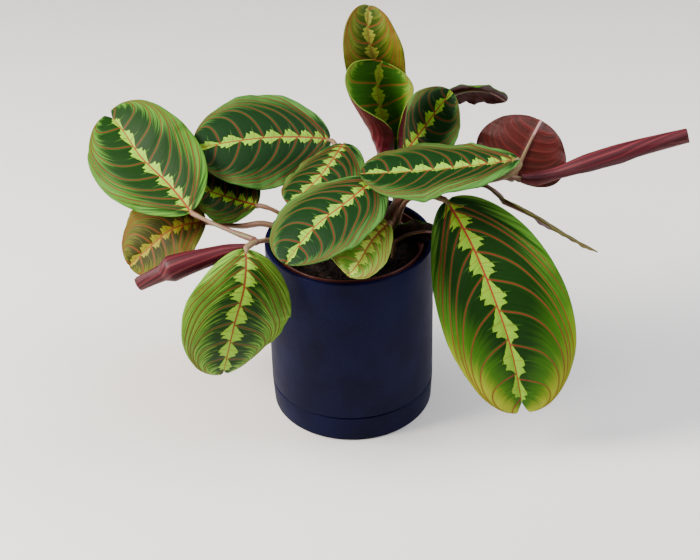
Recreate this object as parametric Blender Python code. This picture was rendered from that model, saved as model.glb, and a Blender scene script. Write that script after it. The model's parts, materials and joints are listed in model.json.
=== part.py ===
"""Potted prayer plant: a pot with its saucer, the grow pot and soil inside it, and the leaves.

Lengths in the tables are millimetres and are turned to metres when a mesh is made.
X runs to the right, Y away from the viewer and Z up, from the middle of the saucer's underside.
"""

from dataclasses import dataclass

import bmesh
import bpy
import numpy as np

METRES = 0.001

# Pot and saucer
OUTER_RADIUS = 52.5
FOOT_ROUNDING = 1.6
FOOT_INSET = 0.8
GROOVE_EDGE = 0.9
SAUCER_HEIGHT = 18.15
SAUCER_INNER_RADIUS = 49.2
SAUCER_LIP = 0.5
SAUCER_FLOOR = 4.5
SAUCER_CORNER = 2.0
SEAT_GAP = 0.3
POT_HEIGHT = 120.1
POT_INNER_RADIUS = 49.5
POT_FOOT_RADIUS = 48.4
POT_FOOT_EDGE = 1.5
POT_FOOT_WALL = 4.0
POT_STEP_LOW = 20.0
POT_STEP_HIGH = 30.0
POT_FLOOR = 4.2
POT_CORNER = 3.0
RIM_ROUNDING = 0.8
EDGE_BULGE = 0.3
DRAIN_RADIUS = 6.0
CUT_PAST = 2.0

# Grow pot
GROW_TOP = 119.0
GROW_TOP_RADIUS = 46.6
GROW_BASE_RADIUS = 36.0
GROW_WALL = 1.1
GROW_LIP = 1.0
GROW_LIP_HEIGHT = 6.0
GROW_EDGE = 0.3
GROW_FLOOR = 1.6
GROW_DRAIN_RADIUS = 3.2
GROW_DRAIN_RING = 22.0
GROW_DRAIN_COUNT = 6
GROW_DRAIN_SIDES = 14

# Soil
SOIL_TOP = 109.0
SOIL_BUMP = 1.3
SOIL_DIP = 2.0
SOIL_TOP_SHARE = 0.985
SOIL_RINGS = 7
SOIL_SPOKES = 24

# Leaves
BLADE_THICKNESS = 0.7
NARROWEST_HALF = 1.1
CURL_EASE = 1.5
BLADE_ROWS = 12
BLADE_COLUMNS = 8
ROLL_ROWS = 9
ROLL_COLUMNS = 18
ROLL_SPACING = 1.4
STALK_RADIUS = 1.5
MIDRIB_END_RADIUS = 0.55
MIDRIB_REACH = 0.72
MIDRIB_SUNK = 0.15
MIDRIB_RINGS = 4
STALK_SIDES = 6
STALK_STEP = 11.0
HOLE_CLEARANCE = 0.3
ROUND_STEPS = 48
INNER_STEPS = 32


@dataclass(frozen=True)
class Leaf:
    """One leaf: its stalk, its midrib from base to tip and how the blade spreads from it.

    Pairs give the left and then the right half, seen from the base with the upper face up.
    """

    midrib: tuple
    face: tuple
    width: float = 0.0
    face_at_tip: tuple = ()
    fold: tuple = (5, 5)
    curl: tuple = (-25, -25)
    curl_at_tip: tuple = ()
    wrapped: float = 0.0
    share: tuple = (1.0, 1.0)
    widest: float = 0.5
    bluntness: float = 0.52
    wave: float = 1.2
    waves: float = 3.2
    roll: tuple = ()
    stalk: tuple = ()
    stalk_radius: float = STALK_RADIUS


# Left shoot: three leaves from one joint
FAR_LEFT_LEAF = Leaf(
    midrib=((-96, -1, 142), (-111, 22, 149), (-130, 43, 158), (-142, 61, 167), (-153, 77, 171)),
    face=(-0.28, -0.38, 0.88),
    width=67,
    fold=(14, 14),
    curl=(-16, -24),
    share=(0.97, 1.03),
    widest=0.53,
    bluntness=0.47,
    stalk=((-56, -34, 142), (-78, -16, 141), (-96, -1, 142)),
)
LOW_LEFT_LEAF = Leaf(
    midrib=((-61, -44, 142), (-62, -61, 127), (-69, -67, 104), (-79, -57, 60)),
    face=(0.2, -0.91, 0.35),
    face_at_tip=(0.3, -0.88, 0.35),
    width=68,
    fold=(-4, 6),
    curl=(-28, -22),
    share=(1.08, 0.92),
    stalk=((-22, -6, 98), (-27, -12, 120), (-40, -26, 136), (-56, -37, 142), (-61, -44, 142)),
    stalk_radius=1.8,
)
LEFT_ROLL = Leaf(
    midrib=((-60, -38, 140), (-80, -41, 136), (-104, -44, 130), (-126, -44, 120)),
    face=(0, -0.6, 0.8),
    roll=((0, 1.2, 1.1), (0.2, 2.8, 1.4), (0.68, 6.2, 1.5), (0.76, 3.8, 1.2), (1, 3.4, 1.1)),
    stalk=((-54, -35, 142), (-60, -38, 140)),
)

# Single leaves of the left side
OLIVE_LEAF = Leaf(
    midrib=((-90, 20, 122), (-111, 18, 119), (-125, 13, 110), (-140, 10, 97)),
    face=(-0.1, -0.62, 0.78),
    width=54,
    fold=(12, 12),
    curl=(-24, -24),
    stalk=((-34, 6, 98), (-40, 10, 119), (-53, 13, 124), (-68, 16, 121), (-90, 20, 122)),
)
SMALL_LEFT_LEAF = Leaf(
    midrib=((-57, 24, 131), (-70, 28, 133), (-83, 30, 137), (-96, 32, 141)),
    face=(0.1, -0.5, 0.85),
    width=48,
    fold=(12, 4),
    curl=(-28, -34),
    share=(0.8, 1.2),
    stalk=((-27, 17, 98), (-36, 18, 121), (-46, 20, 129), (-57, 24, 131)),
)
BACK_LEFT_LEAF = Leaf(
    midrib=((-10, 60, 157), (-39, 54, 163), (-67, 49, 164), (-97, 46, 160)),
    face=(0, -0.52, 0.85),
    width=70,
    curl=(-26, -22),
    stalk=((-13, 27, 98), (-9, 36, 125), (-4, 50, 149), (-10, 60, 157)),
)

# Middle of the plant
MIDDLE_LEAF = Leaf(
    midrib=((-2, 38, 166), (-9, 24, 162), (-19, 10, 156), (-36, -6, 149)),
    face=(-0.27, -0.51, 0.82),
    width=54,
    fold=(10, -5),
    curl=(-26, -42),
    stalk=((-3, 16, 98), (3, 24, 125), (4, 36, 154), (-2, 38, 166)),
)
FRONT_LEAF = Leaf(
    midrib=((16, -8, 166), (-1, -27, 162), (-20, -41, 154), (-37, -60, 141)),
    face=(-0.07, -0.33, 0.94),
    width=63,
    fold=(14, 2),
    curl=(-20, -38),
    share=(0.96, 1.04),
    stalk=((4, 0, 98), (12, 1, 130), (18, -1, 154), (16, -8, 166)),
)
YOUNG_LEAF = Leaf(
    midrib=((24, -26, 146), (13, -40, 142), (6, -54, 138), (-1, -66, 136)),
    face=(-0.15, -0.85, 0.5),
    width=40,
    fold=(9, 4),
    curl=(-33, -42),
    share=(0.7, 1.3),
    stalk=((16, -17, 98), (22, -17, 122), (25, -19, 140), (24, -26, 146)),
)
LOW_LEAF = Leaf(
    midrib=((29, -4, 120), (37, -8, 127), (46, -12, 131), (55, -17, 133)),
    face=(-0.1, 0.95, 0.1),
    width=22,
    share=(0.8, 1.0),
    stalk=((26, -4, 98), (27, -4, 109), (29, -4, 120)),
    stalk_radius=1.2,
)

# Right shoot: four leaves from one stem
LONG_RIGHT_LEAF = Leaf(
    midrib=((102, -13, 180), (78, -15, 178), (49, -9, 172), (8, -4, 168)),
    face=(0, -0.05, 1),
    face_at_tip=(0, -0.2, 0.98),
    width=62,
    fold=(22, 14),
    curl=(-34, -34),
    share=(1.1, 0.9),
    widest=0.54,
    stalk=((20, 15, 98), (24, 14, 119), (34, 11, 142), (58, 6, 152), (82, 0, 159), (98, -10, 170), (102, -13, 180)),
    stalk_radius=2.3,
)
HOODED_LEAF = Leaf(
    midrib=((102, 11, 152), (106, 14, 161), (111, 18, 171), (116, 23, 179), (120, 29, 183)),
    face=(0.2, 0.9, -0.4),
    width=57,
    fold=(0, 0),
    curl=(18, 14),
    share=(0.96, 1.08),
    widest=0.38,
    bluntness=0.42,
    stalk=((90, -5, 164), (97, 3, 158), (102, 11, 152)),
)
RIGHT_ROLL = Leaf(
    midrib=((104, -8, 164), (113, -8, 163), (124, -8, 166), (146, -8, 174), (170, -9, 182), (202, -10, 191)),
    face=(0, -0.6, 0.8),
    roll=((0, 1.3, 1.1), (0.1, 2.9, 1.1), (0.22, 2.4, 1.3), (0.4, 3.9, 1.45), (0.6, 4.1, 1.5), (1, 3.2, 1.1)),
    stalk=((94, -7, 165), (104, -8, 164), (112, -8, 163)),
)
EDGE_ON_LEAF = Leaf(
    midrib=((94, -4, 148), (113, -3, 136), (134, -2, 120), (155, 0, 105)),
    face=(0.5, 0.41, 0.76),
    width=34,
    fold=(0, 0),
    curl=(-15, -15),
    wave=0.6,
    stalk=((78, 2, 156), (84, 0, 155), (94, -4, 148)),
)

# Single leaves of the right side and the back
HANGING_LEAF = Leaf(
    midrib=((59, -16, 155), (73, -31, 134), (87, -52, 104), (96, -63, 77), (104, -69, 33)),
    face=(-0.05, -0.96, 0.14),
    face_at_tip=(0, -0.97, 0.23),
    width=82,
    fold=(12, 6),
    curl=(-24, -26),
    share=(1.04, 0.9),
    widest=0.53,
    bluntness=0.45,
    wave=1.6,
    stalk=((25, 6, 98), (29, 6, 120), (36, 4, 143), (48, -6, 152), (59, -16, 155)),
    stalk_radius=1.8,
)
TALL_LEAF = Leaf(
    midrib=((24, 43, 186), (18, 43, 220), (15, 46, 238), (16, 53, 252)),
    face=(0.08, -0.95, 0.3),
    width=42,
    fold=(16, 16),
    curl=(30, 30),
    widest=0.54,
    bluntness=0.49,
    stalk=((9, 36, 98), (13, 39, 121), (20, 43, 152), (24, 43, 186)),
)
FUNNEL_LEAF = Leaf(
    midrib=((25, 33, 138), (26, 33, 156), (23, 34, 183), (20, 37, 205), (23, 38, 222)),
    face=(0.1, -1, 0.2),
    width=74,
    fold=(0, 0),
    curl=(211, 154),
    curl_at_tip=(108, 104),
    wrapped=0.52,
    share=(1.11, 0.89),
    widest=0.73,
    bluntness=0.4,
    wave=0.4,
    stalk=((20, 23, 98), (24, 28, 121), (25, 33, 138)),
)
BACK_RIGHT_LEAF = Leaf(
    midrib=((36, 44, 154), (48, 40, 173), (57, 40, 187), (66, 42, 198)),
    face=(-0.2, -0.63, 0.76),
    width=48,
    fold=(6, 16),
    curl=(-30, -14),
    share=(0.9, 1.1),
    stalk=((28, 24, 98), (29, 27, 124), (33, 38, 145), (36, 44, 154)),
)
BACK_LEAF = Leaf(
    midrib=((60, 60, 183), (73, 61, 189), (88, 62, 188), (102, 60, 181)),
    face=(0.1, 0.82, 0.56),
    width=36,
    fold=(-10, -10),
    share=(0.65, 1.0),
    stalk=((17, 33, 98), (20, 36, 122), (32, 48, 149), (49, 58, 174), (60, 60, 183)),
)

PLANT_NODES = {
    "left_shoot": ((LOW_LEFT_LEAF, FAR_LEFT_LEAF, LEFT_ROLL), (0.11, 0.3, 0.1)),
    "olive_leaf": ((OLIVE_LEAF,), (0.22, 0.2, 0.05)),
    "small_left_leaf": ((SMALL_LEFT_LEAF,), (0.13, 0.33, 0.1)),
    "back_left_leaf": ((BACK_LEFT_LEAF,), (0.1, 0.28, 0.1)),
    "middle_leaf": ((MIDDLE_LEAF,), (0.12, 0.3, 0.12)),
    "front_leaf": ((FRONT_LEAF,), (0.11, 0.31, 0.1)),
    "young_leaf": ((YOUNG_LEAF,), (0.3, 0.5, 0.12)),
    "low_leaf": ((LOW_LEAF,), (0.16, 0.08, 0.06)),
    "right_shoot": ((LONG_RIGHT_LEAF, HOODED_LEAF, RIGHT_ROLL, EDGE_ON_LEAF), (0.12, 0.29, 0.1)),
    "hanging_leaf": ((HANGING_LEAF,), (0.1, 0.26, 0.08)),
    "tall_leaf": ((TALL_LEAF,), (0.24, 0.27, 0.06)),
    "funnel_leaf": ((FUNNEL_LEAF,), (0.15, 0.3, 0.07)),
    "back_right_leaf": ((BACK_RIGHT_LEAF,), (0.08, 0.25, 0.1)),
    "back_leaf": ((BACK_LEAF,), (0.3, 0.06, 0.09)),
}


def clear_scene():
    """Remove every object the file starts with."""
    for thing in list(bpy.data.objects):
        bpy.data.objects.remove(thing, do_unlink=True)


def make_collection(name):
    """Add an empty collection to the scene."""
    collection = bpy.data.collections.new(name)
    bpy.context.scene.collection.children.link(collection)
    return collection


def make_material(name, colour, roughness, metallic=0.0):
    """Make a Principled material of one colour."""
    material = bpy.data.materials.new(name)
    material.use_nodes = True
    shader = material.node_tree.nodes["Principled BSDF"]
    shader.inputs["Base Color"].default_value = (*colour, 1.0)
    shader.inputs["Roughness"].default_value = roughness
    shader.inputs["Metallic"].default_value = metallic
    return material


def mesh_object(name, points, faces, collection):
    """Make an object in metres from millimetre points, with its faces turned outward."""
    mesh = bpy.data.meshes.new(name)
    mesh.from_pydata([tuple(point * METRES) for point in np.asarray(points, float)], [], faces)
    work = bmesh.new()
    work.from_mesh(mesh)
    bmesh.ops.recalc_face_normals(work, faces=work.faces)
    work.to_mesh(mesh)
    work.free()
    made = bpy.data.objects.new(name, mesh)
    collection.objects.link(made)
    return made


def apply_modifiers(thing):
    """Replace the object's mesh by what its modifiers make."""
    graph = bpy.context.evaluated_depsgraph_get()
    mesh = bpy.data.meshes.new_from_object(thing.evaluated_get(graph))
    thing.modifiers.clear()
    thing.data = mesh


def combine(thing, collection, operation, solver="EXACT"):
    """Join or cut the object with everything in a collection, then remove that collection."""
    boolean = thing.modifiers.new(operation.title(), "BOOLEAN")
    boolean.operation = operation
    boolean.operand_type = "COLLECTION"
    boolean.collection = collection
    boolean.solver = solver
    apply_modifiers(thing)
    for operand in list(collection.objects):
        bpy.data.objects.remove(operand, do_unlink=True)
    bpy.data.collections.remove(collection)


def shade_smooth(thing, angle=35.0):
    """Shade the round faces smooth and keep the edges above the angle sharp."""
    thing.data.shade_smooth()
    thing.data.set_sharp_from_angle(angle=np.radians(angle))


def finish(thing, name, colour, roughness):
    """Name the object and give it its own material."""
    thing.name = name
    thing.data.name = name
    thing.data.materials.clear()
    thing.data.materials.append(make_material(name + "_material", colour, roughness))
    shade_smooth(thing)


def turned(name, profile, collection, steps=ROUND_STEPS):
    """Spin a closed outline of (radius, height) pairs about the upright axis."""
    count = len(profile)
    on_axis = [radius == 0 for radius, _ in profile]
    points, index = [], {}
    for place, (radius, height) in enumerate(profile):
        for step in range(1 if on_axis[place] else steps):
            angle = 2 * np.pi * step / steps
            index[place, step] = len(points)
            points.append((radius * np.cos(angle), radius * np.sin(angle), height))
    faces = []
    for place in range(count):
        after = (place + 1) % count
        if on_axis[place] and on_axis[after]:
            continue
        for step in range(steps):
            near = [index[place, 0 if on_axis[place] else turn % steps] for turn in (step, step + 1)]
            far = [index[after, 0 if on_axis[after] else turn % steps] for turn in (step + 1, step)]
            faces.append(list(dict.fromkeys(near + far)))
    return mesh_object(name, points, faces, collection)


def spline(points, count):
    """Return evenly spaced points on a smooth curve through the given ones."""
    points = np.asarray(points, float)
    if len(points) == 2:
        return points[0] + (points[1] - points[0]) * np.linspace(0, 1, count)[:, None]
    knots = np.concatenate([[0], np.cumsum(np.linalg.norm(np.diff(points, axis=0), axis=1) ** 0.5)])
    step = np.diff(knots)[:, None]
    pace = np.diff(points, axis=0) / step
    inner = (pace[1:] * step[:-1] + pace[:-1] * step[1:]) / (step[1:] + step[:-1])
    slopes = np.vstack([2 * pace[0] - inner[0], inner, 2 * pace[-1] - inner[-1]])
    pieces = []
    for place in range(len(points) - 1):
        part = np.linspace(0, 1, 40, endpoint=place == len(points) - 2)[:, None]
        start = (2 * part**3 - 3 * part**2 + 1) * points[place]
        leave = (part**3 - 2 * part**2 + part) * step[place] * slopes[place]
        end = (3 * part**2 - 2 * part**3) * points[place + 1]
        arrive = (part**3 - part**2) * step[place] * slopes[place + 1]
        pieces.append(start + leave + end + arrive)
    fine = np.concatenate(pieces)
    reach = np.concatenate([[0], np.cumsum(np.linalg.norm(np.diff(fine, axis=0), axis=1))])
    wanted = np.linspace(0, reach[-1], count)
    return np.stack([np.interp(wanted, reach, fine[:, axis]) for axis in range(3)], axis=-1)


def unit(vectors):
    """Scale vectors to length one."""
    return vectors / np.linalg.norm(vectors, axis=-1, keepdims=True)


def along(leaf, places):
    """Return midrib points, directions, upper-face normals and right-hand directions at places."""
    fine = spline(leaf.midrib, 201)
    heading = unit(np.gradient(fine, axis=0))
    grid = np.linspace(0, 1, len(fine))
    centre = np.stack([np.interp(places, grid, fine[:, axis]) for axis in range(3)], axis=-1)
    ahead = unit(np.stack([np.interp(places, grid, heading[:, axis]) for axis in range(3)], axis=-1))
    start = np.array(leaf.face, float)
    end = np.array(leaf.face_at_tip or leaf.face, float)
    wish = start + (end - start) * places[:, None]
    up = unit(wish - (wish * ahead).sum(axis=1, keepdims=True) * ahead)
    return centre, ahead, up, np.cross(ahead, up)


def half_width(leaf, places):
    """Return how far the blade reaches from its midrib at each place."""
    power = np.log(0.5) / np.log(leaf.widest)
    rounded = np.sin(np.pi * np.clip(places, 1e-9, 1) ** power)
    return np.maximum(leaf.width / 2 * np.clip(rounded, 0, 1) ** leaf.bluntness, NARROWEST_HALF)


def end_fade(leaf, places):
    """Fade a bend out at both ends of the blade, but not at the base of a wrapped one."""
    places = np.maximum(places, 0.5) if leaf.wrapped else places
    return np.sin(np.pi * np.clip(places, 0.02, 0.98)) ** 0.3


def opened(leaf, places):
    """Return how far the curl has gone from its value at the base to that at the tip."""
    return np.clip((places - leaf.wrapped) / (1 - leaf.wrapped), 0, 1)


def open_surface(leaf, places, columns):
    """Return the grid of points of a blade whose halves fold and curl from the midrib."""
    centre, _, up, right = along(leaf, places)
    reach = half_width(leaf, places)
    fade = end_fade(leaf, places)
    opening = opened(leaf, places)
    tip_curl = leaf.curl_at_tip or leaf.curl
    grid = np.zeros((len(places), columns + 1, 3))
    for column in range(columns + 1):
        offset = 2 * column / columns - 1
        side = 0 if offset < 0 else 1
        bend = np.radians(leaf.curl[side] + (tip_curl[side] - leaf.curl[side]) * opening) * fade
        bend = np.where(np.abs(bend) < 1e-4, 1e-4, bend * reach / (reach + CURL_EASE))
        rise = np.radians(leaf.fold[side])
        length = reach * leaf.share[side]
        out = length * (np.sin(rise + bend * abs(offset)) - np.sin(rise)) / bend
        lift = length * (np.cos(rise) - np.cos(rise + bend * abs(offset))) / bend
        phase = 2 * np.pi * leaf.waves * places + 1.7 * side
        lift = lift + leaf.wave * np.sin(phase) * abs(offset) ** 3 * fade * reach / max(leaf.width / 2, 1)
        grid[:, column] = centre + right * (np.sign(offset) * out)[:, None] + up * lift[:, None]
    return grid


def rolled_surface(leaf, places, columns):
    """Return the grid of points of a young leaf that is still rolled about its middle line."""
    centre, _, up, right = along(leaf, places)
    keys = np.array(leaf.roll, float)
    radius = np.interp(places, keys[:, 0], keys[:, 1])
    turns = np.interp(places, keys[:, 0], keys[:, 2])
    grid = np.zeros((len(places), columns + 1, 3))
    for column in range(columns + 1):
        turned_by = column / columns * turns
        distance = radius + ROLL_SPACING * turned_by
        angle = 2 * np.pi * turned_by - np.pi * turns + np.pi
        grid[:, column] = centre + (np.cos(angle) * distance)[:, None] * up
        grid[:, column] += (np.sin(angle) * distance)[:, None] * right
    return grid


def surface_normals(grid):
    """Return unit normals of a grid of points."""
    forward = np.gradient(grid, axis=0)
    across = np.gradient(grid, axis=1)
    return unit(np.cross(across, forward) + 1e-12)


def sheet_solid(name, grid, thickness, collection):
    """Thicken an open grid of points, split into triangles alike on both faces."""
    rows, columns = grid.shape[:2]
    normal = surface_normals(grid) * thickness / 2
    points = np.concatenate([(grid + normal).reshape(-1, 3), (grid - normal).reshape(-1, 3)])
    under = rows * columns
    faces = []
    for row in range(rows - 1):
        for column in range(columns - 1):
            corner = row * columns + column
            right, ahead, across = corner + 1, corner + columns, corner + columns + 1
            if column < columns // 2:
                halves = [(corner, right, across), (corner, across, ahead)]
            else:
                halves = [(corner, right, ahead), (right, across, ahead)]
            for half in halves:
                faces += [half, tuple(place + under for place in reversed(half))]
    rim = list(range(columns)) + [row * columns + columns - 1 for row in range(1, rows)]
    rim += [(rows - 1) * columns + column for column in range(columns - 2, -1, -1)]
    rim += [row * columns for row in range(rows - 2, 0, -1)]
    for place, start in enumerate(rim):
        end = rim[(place + 1) % len(rim)]
        faces += [(start, start + under, end + under), (start, end + under, end)]
    return mesh_object(name, points, faces, collection)


def blade_solid(leaf, collection):
    """Make the blade of one leaf as a thin closed solid."""
    if leaf.roll:
        grid = rolled_surface(leaf, np.linspace(0, 1, ROLL_ROWS), ROLL_COLUMNS)
    else:
        even = np.linspace(0.006, 0.994, BLADE_ROWS)
        places = 0.5 * even + 0.5 * (0.5 - 0.5 * np.cos(np.pi * even))
        grid = open_surface(leaf, places, BLADE_COLUMNS)
    return sheet_solid("blade", grid, BLADE_THICKNESS, collection)


def ring_frames(path):
    """Return two directions square to a path at each of its points, without twisting."""
    heading = unit(np.gradient(path, axis=0))
    side = np.cross(heading[0], (0.0, 0.3, 1.0) if abs(heading[0][2]) < 0.8 else (1.0, 0.0, 0.0))
    sides = []
    for direction in heading:
        side = unit(side - (side @ direction) * direction)
        sides.append(side)
    sides = np.array(sides)
    return sides, np.cross(heading, sides)


def tube_solid(name, path, radii, collection, sides=STALK_SIDES):
    """Make a closed tube along a path, with its own radius at every point."""
    first, second = ring_frames(path)
    turn = np.linspace(0, 2 * np.pi, sides, endpoint=False)
    rings = path[:, None] + radii[:, None, None] * (
        np.cos(turn)[None, :, None] * first[:, None] + np.sin(turn)[None, :, None] * second[:, None]
    )
    faces = [list(range(sides)), [(len(path) - 1) * sides + side for side in range(sides)]]
    for ring in range(len(path) - 1):
        for side in range(sides):
            after = (side + 1) % sides
            low, high = ring * sides, (ring + 1) * sides
            faces.append((low + side, low + after, high + after, high + side))
    return mesh_object(name, rings.reshape(-1, 3), faces, collection)


def stalk_path(leaf):
    """Return evenly spaced points along the stalk, from the soil or joint to the blade."""
    reach = np.linalg.norm(np.diff(np.array(leaf.stalk, float), axis=0), axis=1).sum()
    return spline(leaf.stalk, max(3, int(reach / STALK_STEP) + 1))


def stem_solid(leaf, collection):
    """Make the stalk of a leaf, running on as the midrib under its blade."""
    stalk = stalk_path(leaf)
    radii = np.full(len(stalk), leaf.stalk_radius)
    if not leaf.roll:
        places = np.linspace(0.06, MIDRIB_REACH, MIDRIB_RINGS)
        centre, _, up, _ = along(leaf, places)
        taper = np.linspace(leaf.stalk_radius * 0.8, MIDRIB_END_RADIUS, MIDRIB_RINGS)
        drop = up * (taper - MIDRIB_SUNK)[:, None]
        stalk = np.vstack([stalk[:-1], stalk[-1:] - drop[:1], centre - drop])
        radii = np.concatenate([radii, taper])
    return tube_solid("stem", stalk, radii, collection)


def make_leaves(name, leaves, colour, collection):
    """Make one plant node: the leaves of one shoot fused with their stalks."""
    others = make_collection("fused")
    body = stem_solid(leaves[0], collection)
    for place, leaf in enumerate(leaves):
        if place:
            stem_solid(leaf, others)
        blade_solid(leaf, others)
    combine(body, others, "UNION")
    finish(body, name, colour, 0.45)
    return body


def edge(radius, height, ease, inward, downward):
    """Return the three points of a rounded edge, from the upright wall to the level face."""
    bulge = ease * EDGE_BULGE
    return [
        (radius, height - downward * ease),
        (radius - inward * bulge, height - downward * bulge),
        (radius - inward * ease, height),
    ]


def make_saucer(collection):
    """Make the flush saucer that catches the water below the pot."""
    profile = [(0, 0)]
    profile += edge(OUTER_RADIUS - FOOT_INSET, 0, FOOT_ROUNDING, 1, -1)[::-1]
    profile += edge(OUTER_RADIUS, SAUCER_HEIGHT, GROOVE_EDGE, 1, 1)
    profile += edge(SAUCER_INNER_RADIUS, SAUCER_HEIGHT, SAUCER_LIP, -1, 1)[::-1]
    profile += edge(SAUCER_INNER_RADIUS, SAUCER_FLOOR, SAUCER_CORNER, 1, -1)
    profile += [(0, SAUCER_FLOOR)]
    saucer = turned("saucer", profile, collection)
    finish(saucer, "saucer", (0.011, 0.012, 0.036), 0.42)
    return saucer


def make_pot(collection):
    """Make the cover pot: a straight cylinder whose foot drops into the saucer."""
    shoulder = SAUCER_HEIGHT + SEAT_GAP
    base = SAUCER_FLOOR + SEAT_GAP
    floor = base + POT_FLOOR
    foot_inside = POT_FOOT_RADIUS - POT_FOOT_WALL
    profile = [(DRAIN_RADIUS, base)]
    profile += edge(POT_FOOT_RADIUS, base, POT_FOOT_EDGE, 1, -1)[::-1]
    profile += [(POT_FOOT_RADIUS, shoulder)]
    profile += edge(OUTER_RADIUS, shoulder, GROOVE_EDGE, 1, -1)[::-1]
    profile += edge(OUTER_RADIUS, POT_HEIGHT, RIM_ROUNDING, 1, 1)
    profile += edge(POT_INNER_RADIUS, POT_HEIGHT, RIM_ROUNDING, -1, 1)[::-1]
    profile += [(POT_INNER_RADIUS, POT_STEP_HIGH), (foot_inside, POT_STEP_LOW)]
    profile += edge(foot_inside, floor, POT_CORNER, 1, -1)
    profile += [(DRAIN_RADIUS, floor)]
    pot = turned("pot", profile, collection)
    finish(pot, "pot", (0.011, 0.012, 0.036), 0.42)
    return pot


def grow_pot_base():
    """Return the height of the grow pot's underside above the pot's floor."""
    return SAUCER_FLOOR + SEAT_GAP + POT_FLOOR + SEAT_GAP


def make_grow_pot(collection):
    """Make the thin nursery pot inside, with drain holes in its floor."""
    base = grow_pot_base()
    lip = GROW_TOP - GROW_LIP_HEIGHT
    under_lip = GROW_TOP_RADIUS - GROW_LIP
    profile = [
        (0, base),
        (GROW_BASE_RADIUS, base),
        (under_lip, lip - GROW_LIP),
        (GROW_TOP_RADIUS, lip),
        (GROW_TOP_RADIUS, GROW_TOP - GROW_EDGE),
        (GROW_TOP_RADIUS - GROW_EDGE, GROW_TOP),
        (GROW_TOP_RADIUS - GROW_WALL, GROW_TOP),
        (under_lip - GROW_WALL, lip - 2 * GROW_LIP),
        (GROW_BASE_RADIUS - GROW_WALL, base + GROW_FLOOR),
        (0, base + GROW_FLOOR),
    ]
    grow_pot = turned("grow_pot", profile, collection, INNER_STEPS)
    cutters = make_collection("cutters")
    cutters.hide_render = True
    for place in range(GROW_DRAIN_COUNT):
        angle = 2 * np.pi * place / GROW_DRAIN_COUNT
        centre = np.array([GROW_DRAIN_RING * np.cos(angle), GROW_DRAIN_RING * np.sin(angle), base])
        path = centre + np.array([[0, 0, -CUT_PAST], [0, 0, GROW_FLOOR + CUT_PAST]])
        radii = np.full(2, GROW_DRAIN_RADIUS)
        tube_solid("drain_cutter", path, radii, cutters, GROW_DRAIN_SIDES).display_type = "WIRE"
    combine(grow_pot, cutters, "DIFFERENCE")
    finish(grow_pot, "grow_pot", (0.035, 0.012, 0.01), 0.4)
    return grow_pot


def soil_height(x, y):
    """Return the height of the bumpy soil top at a place."""
    coarse = np.sin(0.21 * x + 1.1) * np.cos(0.17 * y - 0.6)
    fine = np.sin(0.47 * x - 0.31 * y) + np.cos(0.39 * y + 0.43 * x + 2.0)
    return SOIL_TOP + SOIL_BUMP * (0.7 * coarse + 0.3 * fine)


def soil_blank(collection):
    """Make the soil as a tapered body with a bumpy top."""
    base = grow_pot_base() + GROW_FLOOR + SEAT_GAP
    wall_height = GROW_TOP - GROW_LIP_HEIGHT - GROW_LIP - grow_pot_base()
    slope = (GROW_TOP_RADIUS - GROW_LIP - GROW_BASE_RADIUS) / wall_height
    edge_height = SOIL_TOP - SOIL_DIP
    low = GROW_BASE_RADIUS - GROW_WALL - SEAT_GAP
    high = low + slope * (edge_height - base)
    rings = [(0.0, base, False), (low, base, False), (high, edge_height, False)]
    for ring in range(SOIL_RINGS, -1, -1):
        rings.append((high * SOIL_TOP_SHARE * ring / SOIL_RINGS, 0.0, True))
    points, starts = [], []
    for radius, height, bumpy in rings:
        starts.append((len(points), 1 if radius == 0 else SOIL_SPOKES))
        for spoke in range(1 if radius == 0 else SOIL_SPOKES):
            angle = 2 * np.pi * spoke / SOIL_SPOKES
            x, y = radius * np.cos(angle), radius * np.sin(angle)
            points.append((x, y, soil_height(x, y) if bumpy else height))
    faces = []
    for (near, near_count), (far, far_count) in zip(starts[:-1], starts[1:]):
        for spoke in range(SOIL_SPOKES):
            after = spoke + 1
            loop = [near + spoke % near_count, near + after % near_count]
            loop += [far + after % far_count, far + spoke % far_count]
            loop = list(dict.fromkeys(loop))
            faces += [loop] if len(loop) == 3 else [loop[:3], [loop[0], loop[2], loop[3]]]
    return mesh_object("soil", points, faces, collection)


def make_soil(collection):
    """Make the soil with a plain hole for each stalk that stands in it."""
    soil = soil_blank(collection)
    cutters = make_collection("cutters")
    cutters.hide_render = True
    for leaves, _ in PLANT_NODES.values():
        for leaf in leaves:
            path = stalk_path(leaf)
            if path[0][2] > SOIL_TOP:
                continue
            down = unit(path[0] - path[1]) * HOLE_CLEARANCE
            path = np.vstack([path[0] + down, path[1:4]])
            radii = np.full(len(path), leaf.stalk_radius + HOLE_CLEARANCE)
            tube_solid("stalk_cutter", path, radii, cutters).display_type = "WIRE"
    combine(soil, cutters, "DIFFERENCE")
    finish(soil, "soil", (0.012, 0.009, 0.007), 0.95)
    return soil


def main():
    """Build every node of the potted prayer plant."""
    clear_scene()
    collection = make_collection("potted_prayer_plant")
    make_saucer(collection)
    make_pot(collection)
    make_grow_pot(collection)
    make_soil(collection)
    for name, (leaves, colour) in PLANT_NODES.items():
        make_leaves(name, leaves, colour, collection)


main()
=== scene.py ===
"""Dresses the potted prayer plant: patterned leaves, stalks, soil, the pot and its studio.

Lengths in the tables are millimetres and are turned to metres when a mesh is made.
X runs to the right, Y away from the viewer and Z up, from the middle of the saucer's underside.
"""

import json
import logging
from dataclasses import dataclass
from enum import Enum

import bmesh
import bpy
import numpy as np
from mathutils import Matrix, Vector, noise

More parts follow.
